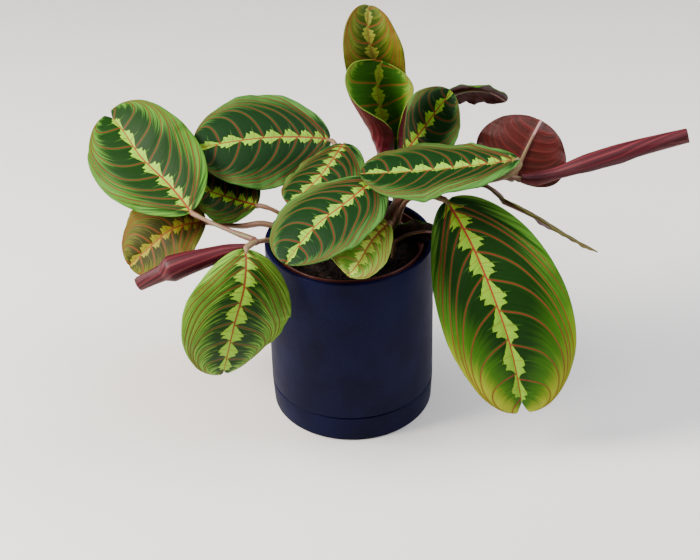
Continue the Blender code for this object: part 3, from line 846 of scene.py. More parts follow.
RIGHT_SHOOT = (
    Leaf(
        "long_right",
        midrib=((102, -13, 180), (78, -15, 178), (49, -9, 172), (8, -4, 168)),
        face=(0, -0.05, 1),
        face_at_tip=(0, -0.2, 0.98),
        width=62,
        fold=(22, 14),
        curl=(-34, -34),
        share=(1.1, 0.9),
        widest=0.54,
        stalk=(
            (20, 15, 98), (24, 14, 119), (34, 11, 142), (58, 6, 152), (82, 0, 159), (98, -10, 170),
            (102, -13, 180),
        ),
        stalk_radius=2.3,
        coat=Coat.DEEP,
        sheath=1.0,
        veins=9.0,
    ),
    Leaf(
        "hooded",
        midrib=((102, 11, 152), (106, 14, 161), (111, 18, 171), (116, 23, 179), (120, 29, 183)),
        face=(0.2, 0.9, -0.4),
        width=57,
        fold=(0, 0),
        curl=(18, 14),
        share=(0.96, 1.08),
        widest=0.38,
        bluntness=0.42,
        stalk=((90, -5, 164), (97, 3, 158), (102, 11, 152)),
        coat=Coat.BROWNISH,
    ),
    Leaf(
        "right_rolled",
        midrib=(
            (104, -8, 164), (113, -8, 163), (124, -8, 166), (146, -8, 174), (170, -9, 182), (202, -10, 191),
        ),
        face=(0, -0.6, 0.8),
        roll=(
            (0, 1.3, 1.1), (0.1, 2.9, 1.1), (0.22, 2.4, 1.3), (0.4, 3.9, 1.45), (0.6, 4.1, 1.5), (1, 3.2, 1.1),
        ),
        stalk=((94, -7, 165), (104, -8, 164), (112, -8, 163)),
        coat=Coat.ROLLED,
    ),
    Leaf(
        "edge_on",
        midrib=((94, -4, 148), (113, -3, 136), (134, -2, 120), (155, 0, 105)),
        face=(0.5, 0.41, 0.76),
        width=34,
        fold=(0, 0),
        curl=(-15, -15),
        wave=0.6,
        stalk=((78, 2, 156), (84, 0, 155), (94, -4, 148)),
        coat=Coat.OLIVE,
        veins=7.0,
    ),
)
HANGING_LEAF = Leaf(
    "hanging",
    midrib=((59, -16, 155), (73, -31, 134), (87, -52, 104), (96, -63, 77), (104, -69, 33)),
    face=(-0.05, -0.96, 0.14),
    face_at_tip=(0, -0.97, 0.23),
    width=82,
    fold=(12, 6),
    curl=(-24, -26),
    share=(1.04, 0.9),
    widest=0.53,
    bluntness=0.45,
    wave=1.6,
    stalk=((25, 6, 98), (29, 6, 120), (36, 4, 143), (48, -6, 152), (59, -16, 155)),
    stalk_radius=1.8,
    coat=Coat.AGEING,
    notch=8.0,
    veins=8.0,
    feather=8.2,
)
TALL_LEAF = Leaf(
    "tall",
    midrib=((24, 43, 186), (18, 43, 220), (15, 46, 238), (16, 53, 252)),
    face=(0.08, -0.95, 0.3),
    width=42,
    fold=(16, 16),
    curl=(30, 30),
    widest=0.54,
    bluntness=0.49,
    stalk=((9, 36, 98), (13, 39, 121), (20, 43, 152), (24, 43, 186)),
    coat=Coat.OLIVE_GREEN,
)
FUNNEL_LEAF = Leaf(
    "funnel",
    midrib=((25, 33, 138), (26, 33, 156), (23, 34, 183), (20, 37, 205), (23, 38, 222)),
    face=(0.1, -1, 0.2),
    width=74,
    fold=(0, 0),
    curl=(211, 154),
    curl_at_tip=(108, 104),
    wrapped=0.52,
    share=(1.11, 0.89),
    widest=0.73,
    bluntness=0.4,
    wave=0.4,
    stalk=((20, 23, 98), (24, 28, 121), (25, 33, 138)),
    coat=Coat.OPENING,
)
BACK_RIGHT_LEAF = Leaf(
    "back_right",
    midrib=((36, 44, 154), (48, 40, 173), (57, 40, 187), (66, 42, 198)),
    face=(-0.2, -0.63, 0.76),
    width=48,
    fold=(6, 16),
    curl=(-30, -14),
    share=(0.9, 1.1),
    stalk=((28, 24, 98), (29, 27, 124), (33, 38, 145), (36, 44, 154)),
    coat=Coat.DEEP,
    veins=6.5,
)
BACK_LEAF = Leaf(
    "back",
    midrib=((60, 60, 183), (73, 61, 189), (88, 62, 188), (102, 60, 181)),
    face=(0.1, 0.82, 0.56),
    width=36,
    fold=(-10, -10),
    share=(0.65, 1.0),
    stalk=((17, 33, 98), (20, 36, 122), (32, 48, 149), (49, 58, 174), (60, 60, 183)),
    coat=Coat.BROWNISH,
)


@dataclass
class Blade:
    """The blade of one leaf, with quilted relief between its veins.

    The seed makes the leaf's irregularities its own.
    """

    leaf: Leaf
    seed: int
    thickness: float = 0.62
    narrowest: float = 1.1
    curl_ease: float = 1.5
    roll_spacing: float = 1.4
    roll_veins: float = 7.0
    cell: float = 1.15
    midrib_steps: int = 401
    vein_steps: int = 241
    rows: tuple[int, int] = (40, 130)
    half_columns: tuple[int, int] = (16, 40)
    roll_width: float = 60.0
    ends: Pair = (0.006, 0.994)
    edge_crowding: float = 0.92
    quilt: float = 0.42
    groove: float = 0.4
    groove_width: float = 1.3
    vein_power: float = 0.7
    leave: float = 0.14
    sweep: float = 0.7
    fan: float = 0.9
    notch_start: float = 0.84
    notch_width: float = 0.8
    small_wave: float = 0.3

    def __post_init__(self) -> None:
        """Measure the midrib."""
        self.fine = spline(self.leaf.midrib, self.midrib_steps)
        self.length = float(np.linalg.norm(np.diff(self.fine, axis=0), axis=1).sum())

    def along(self, places: np.ndarray) -> tuple[np.ndarray, ...]:
        """Find the midrib and its directions.

        Args:
            places: Shares of the midrib's length, from base to tip.

        Returns:
            Midrib points, headings, upper-face normals and right-hand directions.
        """
        heading = unit(np.gradient(self.fine, axis=0))
        grid = np.linspace(0, 1, len(self.fine))
        centre = np.stack([np.interp(places, grid, self.fine[:, axis]) for axis in range(3)], axis=-1)
        ahead = unit(np.stack([np.interp(places, grid, heading[:, axis]) for axis in range(3)], axis=-1))
        start = np.array(self.leaf.face, float)
        end = np.array(self.leaf.face_at_tip or self.leaf.face, float)
        wish = start + (end - start) * places[:, None]
        up = unit(wish - (wish * ahead).sum(axis=1, keepdims=True) * ahead)
        return centre, ahead, up, np.cross(ahead, up)

    def half_width(self, places: np.ndarray) -> np.ndarray:
        """Find how far the blade reaches from its midrib.

        Args:
            places: Shares of the midrib's length.

        Returns:
            The half width at each place.
        """
        power = np.log(0.5) / np.log(self.leaf.widest)
        rounded = np.clip(np.sin(np.pi * np.clip(places, 1e-9, 1) ** power), 0, 1)
        return np.maximum(self.leaf.width / 2 * rounded**self.leaf.bluntness, self.narrowest)

    def open_surface(self, places: np.ndarray, offsets: np.ndarray) -> np.ndarray:
        """Place the blade's points where its halves fold and curl from the midrib.

        Args:
            places: Shares of the midrib's length.
            offsets: Shares of the half width, from -1 at the left edge to 1 at the right.

        Returns:
            A grid of points, one row for each place.
        """
        leaf = self.leaf
        centre, _, up, right = self.along(places)
        reach = self.half_width(places)
        held = np.maximum(places, 0.5) if leaf.wrapped else places
        fade = np.sin(np.pi * np.clip(held, 0.02, 0.98)) ** 0.3
        opening = np.clip((places - leaf.wrapped) / (1 - leaf.wrapped), 0, 1)
        tip_curl = leaf.curl_at_tip or leaf.curl
        grid = np.zeros((len(places), len(offsets), 3))
        # Each half starts at its fold from the midrib and bends evenly from there to its edge
        for column, offset in enumerate(offsets):
            side = 0 if offset < 0 else 1
            bend = np.radians(leaf.curl[side] + (tip_curl[side] - leaf.curl[side]) * opening) * fade
            bend = np.where(np.abs(bend) < 1e-4, 1e-4, bend * reach / (reach + self.curl_ease))
            rise = np.radians(leaf.fold[side])
            length = reach * leaf.share[side]
            out = length * (np.sin(rise + bend * abs(offset)) - np.sin(rise)) / bend
            lift = length * (np.cos(rise) - np.cos(rise + bend * abs(offset))) / bend
            phase = 2 * np.pi * leaf.waves * places + 1.7 * side
            ripple = leaf.wave * np.sin(phase) * abs(offset) ** 3
            ripple += self.small_wave * np.sin(2.9 * phase + self.seed) * abs(offset) ** 4
            lift = lift + ripple * fade * reach / max(leaf.width / 2, 1)
            grid[:, column] = centre + right * (np.sign(offset) * out)[:, None] + up * lift[:, None]
        return grid

    def rolled_surface(self, places: np.ndarray, offsets: np.ndarray) -> np.ndarray:
        """Place the points of a young leaf that is still rolled about its middle line.

        Args:
            places: Shares of the roll's length.
            offsets: Shares of the way from the roll's inner edge, -1, to its outer edge, 1.

        Returns:
            A grid of points, one row for each place.
        """
        centre, _, up, right = self.along(places)
        keys = np.array(self.leaf.roll, float)
        radius = np.interp(places, keys[:, 0], keys[:, 1])
        turns = np.interp(places, keys[:, 0], keys[:, 2])
        grid = np.zeros((len(places), len(offsets), 3))
        for column, offset in enumerate(offsets):
            turned_by = (offset + 1) / 2 * turns
            distance = radius + self.roll_spacing * turned_by
            angle = 2 * np.pi * turned_by - np.pi * turns + np.pi
            grid[:, column] = centre + (np.cos(angle) * distance)[:, None] * up
            grid[:, column] += (np.sin(angle) * distance)[:, None] * right
        return grid

    def vein_count(self, places: np.ndarray, spread: np.ndarray) -> np.ndarray:
        """Count the side veins from the base to each point; whole numbers lie on a vein.

        Args:
            places: Shares of the midrib's length, one for each row.
            spread: Shares of the half width, one for each column.

        Returns:
            The count at each point of the grid.
        """
        starts = np.linspace(0, 1, self.vein_steps)
        counts = np.zeros((len(places), len(spread)))
        for column, share in enumerate(spread):
            swept = self.sweep * share**3.6 * (1 - starts) * (0.55 + 0.45 * smooth(0, 0.2, starts))
            reached = np.maximum.accumulate(starts + self.leave * share * (1 - starts**3) + swept)
            reached += 1e-6 * starts
            begun = np.interp(places, reached, starts)
            before = np.clip(1 - places / max(reached[0], 1e-6), 0, 1)
            counts[:, column] = self.leaf.veins * begun**self.vein_power - self.fan * before
        return counts

    def lay_out(self) -> tuple[np.ndarray, np.ndarray]:
        """Choose how finely the blade is divided, finest at its base, tip and edges.

        Returns:
            Shares of the midrib's length, and shares of the half width from -1 to 1.
        """
        rows = int(np.clip(self.length / self.cell, *self.rows))
        width = self.leaf.width or self.roll_width
        columns = 2 * int(np.clip(width / self.cell / 2, *self.half_columns))
        even = np.linspace(*self.ends, rows + 1)
        places = 0.5 * even + 0.5 * (0.5 - 0.5 * np.cos(np.pi * even))
        offsets = np.linspace(-1, 1, columns + 1)
        return places, np.sign(offsets) * np.abs(offsets) ** self.edge_crowding

    def surface(self) -> tuple[np.ndarray, dict[str, np.ndarray]]:
        """Lay out the blade's middle surface and the values its materials need.

        Returns:
            The grid of points, and vectors on it by name.
        """
        leaf = self.leaf
        places, offsets = self.lay_out()
        spread = np.abs(offsets)
        count = self.vein_count(places, spread)
        if leaf.roll:
            grid = self.rolled_surface(places, offsets)
            count = self.roll_veins * spread[None, :] + 2 * places[:, None]
        else:
            pull = smooth(self.notch_start, 1, places)[:, None]
            pull = pull * np.clip(1 - spread / self.notch_width, 0, 1)[None, :] ** 1.3
            grid = self.open_surface(places, offsets)
            grid = grid - self.along(places)[1][:, None, :] * (leaf.notch * pull)[..., None]
        steps = np.linalg.norm(np.diff(grid, axis=1), axis=2)
        reach = np.concatenate([np.zeros((len(grid), 1)), np.cumsum(steps, axis=1)], axis=1)
        middle = len(offsets) // 2
        across = reach - reach[:, middle:middle + 1]
        gap = 1 / np.maximum(self.slope(grid, count), 1e-3)
        straight = leaf.veins * places**self.vein_power
        lobe = 0.55 * straight[:, None] + 0.45 * count
        wide = [np.broadcast_to(values, across.shape) for values in (places[:, None], spread[None, :])]
        fields = {
            "leaf_place": np.stack([across, *wide], axis=-1),
            "leaf_veins": np.stack([count, gap, lobe], axis=-1),
            "leaf_seed": np.broadcast_to(np.array([leaf.feather, self.seed * 3.7, 0.0]), grid.shape),
        }
        if leaf.roll:
            return grid, fields
        return grid + self.normals(grid) * self.relief(across, spread, count, gap)[..., None], fields

    def relief(
        self, across: np.ndarray, spread: np.ndarray, count: np.ndarray, gap: np.ndarray
    ) -> np.ndarray:
        """Work out how high the blade bulges between its side veins, and its groove at the midrib.

        Args:
            across: Millimetres from the midrib, at each point.
            spread: Share of the half width, for each column.
            count: Count of side veins from the base, at each point.
            gap: Spacing of the side veins, at each point.

        Returns:
            The height at each point.
        """
        phase = count + SIDE_OFFSET * (across > 0)
        height = self.quilt * np.abs(np.sin(np.pi * phase)) ** 0.8
        height *= smooth(0, 3, np.abs(across)) * (1 - spread[None, :] ** 3) * smooth(1.5, 4, gap)
        return height - self.groove * np.exp(-((across / self.groove_width) ** 2))

    @staticmethod
    def slope(grid: np.ndarray, value: np.ndarray) -> np.ndarray:
        """Return how fast a value changes per millimetre of the surface.

        Args:
            grid: The surface's points.
            value: One number at each point.

        Returns:
            The length of the value's gradient on the surface.
        """
        down, over = np.gradient(grid, axis=0), np.gradient(grid, axis=1)
        rise_down, rise_over = np.gradient(value, axis=0), np.gradient(value, axis=1)
        first, second, both = (down * down).sum(-1), (over * over).sum(-1), (down * over).sum(-1)
        area = np.maximum(first * second - both**2, 1e-9)
        square = (second * rise_down**2 - 2 * both * rise_down * rise_over + first * rise_over**2) / area
        return np.sqrt(np.maximum(square, 0))

    @staticmethod
    def normals(grid: np.ndarray) -> np.ndarray:
        """Return unit normals of a grid of points."""
        return unit(np.cross(np.gradient(grid, axis=1), np.gradient(grid, axis=0)) + 1e-12)

    def build(self) -> bpy.types.Object:
        """Make the blade as a thin closed mesh with its two skins.

        Returns:
            The blade's object.
        """
        grid, fields = self.surface()
        rows, columns = grid.shape[:2]
        normal = self.normals(grid) * self.thickness / 2
        points = np.concatenate([(grid + normal).reshape(-1, 3), (grid - normal).reshape(-1, 3)])
        under = rows * columns
        corner = (np.arange(rows - 1)[:, None] * columns + np.arange(columns - 1)[None, :]).ravel()
        top = np.stack([corner, corner + 1, corner + columns + 1, corner + columns], axis=1)
        bottom = top[:, ::-1] + under
        rim = list(range(columns)) + [row * columns + columns - 1 for row in range(1, rows)]
        rim += [(rows - 1) * columns + column for column in range(columns - 2, -1, -1)]
        rim += [row * columns for row in range(rows - 2, 0, -1)]
        rim = np.array(rim)
        after = np.roll(rim, -1)
        edge = np.stack([rim, rim + under, after + under, after], axis=1)
        faces = np.concatenate([top, bottom, edge]).tolist()
        mesh = bpy.data.meshes.new(self.leaf.name + "_blade")
        mesh.from_pydata((points * MM).tolist(), [], faces)
        slots = np.concatenate([np.zeros(len(top)), np.ones(len(bottom)), np.zeros(len(edge))])
        self.dress(mesh, slots.astype(np.int32), fields)
        return placed(mesh)

    def dress(self, mesh: bpy.types.Mesh, slots: np.ndarray, fields: dict[str, np.ndarray]) -> None:
        """Give the blade its two skins and the values that they work from.

        Args:
            mesh: The blade's mesh.
            slots: The skin's number for each face.
            fields: Vectors on the blade's grid, by name.
        """
        # A roll lies with its underside out
        for skin in ("lower", "upper") if self.leaf.roll else ("upper", "lower"):
            key = (self.leaf.coat, skin)
            if key not in SKINS:
                SKINS[key] = getattr(self.leaf.coat.value, skin)()
            mesh.materials.append(SKINS[key])
        mesh.polygons.foreach_set("material_index", slots)
        for name, values in fields.items():
            carry(mesh, name, np.concatenate([values.reshape(-1, 3)] * 2))
        mesh.shade_smooth()
        mesh.update()


SKINS: dict[tuple[Coat, str], bpy.types.Material] = {}


@dataclass
class Stem:
    """The stalk of one leaf, from the soil or joint, running on as the rib under its blade."""

    leaf: Leaf
    skin: bpy.types.Material
    sides: int = 14
    step: float = 1.4
    thin: float = 0.86
    sheath_swell: float = 0.42
    joint_swell: float = 0.2
    joint_length: float = 9.0
    flutes: int = 4
    flute_depth: float = 0.05
    midrib_start: float = 0.03
    midrib_reach: float = 0.74
    midrib_steps: int = 26
    midrib_end_radius: float = 0.5
    midrib_drop: float = 0.08

    def path(self) -> tuple[np.ndarray, np.ndarray]:
        """Lay out the middle line of the stalk and its radius.

        Returns:
            The points and the radius at each.
        """
        leaf = self.leaf
        reach = np.linalg.norm(np.diff(np.array(leaf.stalk, float), axis=0), axis=1).sum()
        stalk = spline(leaf.stalk, max(4, int(reach / self.step)))
        share = np.linspace(0, 1, len(stalk))
        left = (1 - share) * reach
        radii = np.full(len(stalk), leaf.stalk_radius * self.thin)
        radii += leaf.stalk_radius * self.sheath_swell * smooth(leaf.sheath + 0.12, leaf.sheath - 0.2, share)
        near_joint = smooth(self.joint_length, self.joint_length * 0.6, left)
        radii += leaf.stalk_radius * self.joint_swell * near_joint
        if leaf.roll:
            return stalk, radii
        places = np.linspace(self.midrib_start, self.midrib_reach, self.midrib_steps)
        centre, _, up, _ = Blade(leaf, 0).along(places)
        taper = np.linspace(radii[-1], self.midrib_end_radius, len(places))
        drop = up * (taper + self.midrib_drop)[:, None]
        line = np.vstack([stalk[:-1], centre - drop])
        return line, np.concatenate([radii[:-1], taper])

    def build(self) -> bpy.types.Object:
        """Make the stalk as a closed tube.

        Returns:
            The stalk's object.
        """
        line, radii = self.path()
        sides = self.sides
        heading = unit(np.gradient(line, axis=0))
        side = np.cross(heading[0], (0.0, 0.3, 1.0) if abs(heading[0][2]) < 0.8 else (1.0, 0.0, 0.0))
        first = []
        for direction in heading:
            side = unit(side - (side @ direction) * direction)
            first.append(side)
        first = np.array(first)
        second = np.cross(heading, first)
        turn = np.linspace(0, 2 * np.pi, sides, endpoint=False)
        flutes = 1 + self.flute_depth * np.cos(self.flutes * turn)
        rings = line[:, None] + radii[:, None, None] * flutes[None, :, None] * (
            np.cos(turn)[None, :, None] * first[:, None] + np.sin(turn)[None, :, None] * second[:, None]
        )
        faces = [list(range(sides))[::-1], [(len(line) - 1) * sides + place for place in range(sides)]]
        for ring in range(len(line) - 1):
            for place in range(sides):
                after = (place + 1) % sides
                low, high = ring * sides, (ring + 1) * sides
                faces.append((low + place, low + after, high + after, high + place))
        mesh = bpy.data.meshes.new(self.leaf.name + "_stalk")
        mesh.from_pydata((rings.reshape(-1, 3) * MM).tolist(), [], faces)
        reach = np.concatenate([[0], np.cumsum(np.linalg.norm(np.diff(line, axis=0), axis=1))])
        around = np.minimum(turn, 2 * np.pi - turn)
        share = np.linspace(0, 1, len(line))
        parts = (around[None, :], reach[:, None], share[:, None])
        wide = [np.broadcast_to(part, (len(line), sides)) for part in parts]
        carry(mesh, "stem_place", np.stack(wide, axis=-1))
        mesh.materials.append(self.skin)
        mesh.shade_smooth()
        return placed(mesh)


@dataclass
class Shoot:
    """One plant node of the frame: the leaves that share it, with their stalks."""

    node: str
    leaves: tuple[Leaf, ...]
    seed: int

    def build(self, skin: bpy.types.Material) -> list[bpy.types.Object]:
        """Build the shoot's pieces and put them on the frame.

        Args:
            skin: The stalks' material.

        Returns:
            The pieces made.
        """
        pieces = []
        for place, leaf in enumerate(self.leaves):
            pieces += [Blade(leaf, self.seed + place).build(), Stem(leaf, skin).build()]
        for piece in pieces:
            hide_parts(self.node)
            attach(piece, "root")
            log.info("%s stands for part of %s", piece.name, self.node)
        return pieces


# Round parts


def arc(radius: float, height: float, ease: float, inward: int, downward: int) -> Profile:
    """Return a rounded edge as a quarter circle, from the upright wall to the level face.

    Args:
        radius: The wall's distance from the axis.
        height: The level face's height.
        ease: Radius of the rounding.
        inward: 1 where the level face lies towards the axis, -1 where it lies away from it.
        downward: 1 where the wall goes down from the edge, -1 where it goes up.

    Returns:
        The points as (radius, height).
    """
    turn = np.linspace(0, np.pi / 2, EDGE_STEPS)
    across = radius - inward * ease * (1 - np.cos(turn))
    return list(zip(across.tolist(), (height - downward * ease * (1 - np.sin(turn))).tolist()))


def turned(name: str, profile: Profile, skin: bpy.types.Material, steps: int) -> bpy.types.Object:
    """Spin a closed outline about the upright axis.

    Args:
        name: Name of the new object.
        profile: The outline as (radius, height), anticlockwise.
        skin: The object's material.
        steps: Number of steps around.

    Returns:
        The new object.
    """
    on_axis = [radius == 0 for radius, _ in profile]
    points, index = [], {}
    for place, (radius, height) in enumerate(profile):
        for step in range(1 if on_axis[place] else steps):
            angle = 2 * np.pi * step / steps
            index[place, step] = len(points)
            points.append((radius * np.cos(angle) * MM, radius * np.sin(angle) * MM, height * MM))
    faces = []
    for place in range(len(profile)):
        after = (place + 1) % len(profile)
        if on_axis[place] and on_axis[after]:
            continue
        for step in range(steps):
            near = [index[place, 0 if on_axis[place] else turn % steps] for turn in (step, step + 1)]
            far = [index[after, 0 if on_axis[after] else turn % steps] for turn in (step + 1, step)]
            faces.append(list(dict.fromkeys(near + far)))
    return mesh_piece(name, points, faces, skin, sharp=40.0)


def mesh_piece(
    name: str, points: list[Point], faces: Faces, skin: bpy.types.Material, sharp: float = 180.0
) -> bpy.types.Object:
    """Make an object with smooth shading up to an edge angle.

    Args:
        name: Name of the new object.
        points: Its points in metres.
        faces: Its faces as point numbers.
        skin: The object's material.
        sharp: Edges above this angle in degrees stay sharp.

    Returns:
        The new object.
    """
    mesh = bpy.data.meshes.new(name)
    mesh.from_pydata(points, [], faces)
    work = bmesh.new()
    work.from_mesh(mesh)
    bmesh.ops.recalc_face_normals(work, faces=work.faces)
    work.to_mesh(mesh)
    work.free()
    mesh.materials.append(skin)
    mesh.shade_smooth()
    mesh.set_sharp_from_angle(angle=np.radians(sharp))
    return placed(mesh)


def seat(piece: bpy.types.Object, node: str) -> None:
    """Put a piece on the frame in place of a node, and hide the node.

    Args:
        piece: The piece.
        node: The plain part's node that it stands for.
    """
    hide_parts(node)
    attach(piece, "root")
    log.info("%s stands for %s", piece.name, node)


@dataclass(frozen=True)
class Ceramics:
    """The cover pot and its flush saucer, turned finely with full round edges."""

    outer: float = 52.5
    foot_rounding: float = 1.6
    foot_inset: float = 0.8
    groove_edge: float = 0.9
    saucer_height: float = 18.15
    saucer_inner: float = 49.2
    saucer_lip: float = 0.5
    saucer_floor: float = 4.5
    saucer_corner: float = 2.0
    gap: float = 0.3
    height: float = 120.1
    inner: float = 49.5
    foot: float = 48.4
    foot_edge: float = 1.5
    foot_wall: float = 4.0
    step_low: float = 20.0
    step_high: float = 30.0
    floor: float = 4.2
    corner: float = 3.0
    rim: float = 0.8
    drain: float = 6.0
    steps: int = 160

    def build(self) -> None:
        """Build the saucer and the pot and put them on the frame."""
        glaze = MatteGlaze().make()
        seat(turned("glazed_saucer", self.saucer_outline(), glaze, self.steps), "saucer")
        seat(turned("glazed_pot", self.pot_outline(), glaze, self.steps), "pot")

    def saucer_outline(self) -> Profile:
        """Draw the saucer's section.

        Returns:
            The outline.
        """
        outline = [(0, 0)]
        outline += arc(self.outer - self.foot_inset, 0, self.foot_rounding, 1, -1)[::-1]
        outline += arc(self.outer, self.saucer_height, self.groove_edge, 1, 1)
        outline += arc(self.saucer_inner, self.saucer_height, self.saucer_lip, -1, 1)[::-1]
        outline += arc(self.saucer_inner, self.saucer_floor, self.saucer_corner, 1, -1)
        return outline + [(0, self.saucer_floor)]

    def pot_outline(self) -> Profile:
        """Draw the pot's section, with the hole in its floor.

        Returns:
            The outline.
        """
        shoulder = self.saucer_height + self.gap
        base = self.saucer_floor + self.gap
        floor = base + self.floor
        inside = self.foot - self.foot_wall
        outline = [(self.drain, base)]
        outline += arc(self.foot, base, self.foot_edge, 1, -1)[::-1]
        outline += [(self.foot, shoulder)]
        outline += arc(self.outer, shoulder, self.groove_edge, 1, -1)[::-1]
        outline += arc(self.outer, self.height, self.rim, 1, 1)
        outline += arc(self.inner, self.height, self.rim, -1, 1)[::-1]
        outline += [(self.inner, self.step_high), (inside, self.step_low)]
        outline += arc(inside, floor, self.corner, 1, -1)
        return outline + [(self.drain, floor)]


@dataclass(frozen=True)
class GrowPot:
    """The thin nursery pot inside, with its lip and the drain holes in its floor."""

    base: float = 9.3
    top: float = 119.0
    top_radius: float = 46.6
    base_radius: float = 36.0
    wall: float = 1.1
    lip: float = 1.0
    lip_height: float = 6.0
    edge: float = 0.3
    floor: float = 1.6
    drain_radius: float = 3.2
    drain_ring: float = 22.0
    drains: int = 6
    steps: int = 128
    drain_steps: int = 28

    def build(self) -> None:
        """Build the nursery pot and put it on the frame."""
        lip = self.top - self.lip_height
        under = self.top_radius - self.lip
        outline = [(0, self.base), (self.base_radius, self.base)]
        outline += [(under, lip - self.lip), (self.top_radius, lip)]
        outline += arc(self.top_radius, self.top, self.edge, 1, 1)
        outline += arc(self.top_radius - self.wall, self.top, self.edge, -1, 1)[::-1]
        outline += [
            (self.top_radius - self.wall, lip - self.lip),
            (under - self.wall, lip - 2 * self.lip),
            (self.base_radius - self.wall, self.base + self.floor),
            (0, self.base + self.floor),
        ]
        piece = turned("moulded_grow_pot", outline, NurseryPlastic().make(), self.steps)
        self.drill(piece)
        seat(piece, "grow_pot")

    def drill(self, piece: bpy.types.Object) -> None:
        """Cut the drain holes through the floor.

        Args:
            piece: The nursery pot.
        """
        cutters = bpy.data.collections.new("drain_cutters")
        bpy.context.scene.collection.children.link(cutters)
        for place in range(self.drains):
            angle = 2 * np.pi * place / self.drains
            work = bmesh.new()
            middle = Vector((np.cos(angle), np.sin(angle), 0.0)) * self.drain_ring * MM
            middle.z = (self.base + self.floor / 2) * MM
            bmesh.ops.create_cone(
                work,
                cap_ends=True,
                segments=self.drain_steps,
                radius1=self.drain_radius * MM,
                radius2=self.drain_radius * MM,
                depth=4 * self.floor * MM,
                matrix=Matrix.Translation(middle),
            )
            mesh = bpy.data.meshes.new("drain")
            work.to_mesh(mesh)
            work.free()
            cutters.objects.link(bpy.data.objects.new("drain", mesh))
        cut = piece.modifiers.new("Drains", "BOOLEAN")
        cut.operand_type, cut.collection, cut.solver = "COLLECTION", cutters, "EXACT"
        made = bpy.data.meshes.new_from_object(piece.evaluated_get(bpy.context.evaluated_depsgraph_get()))
        piece.modifiers.clear()
        piece.data = made
        for cutter in list(cutters.objects):
            bpy.data.objects.remove(cutter, do_unlink=True)
        bpy.data.collections.remove(cutters)


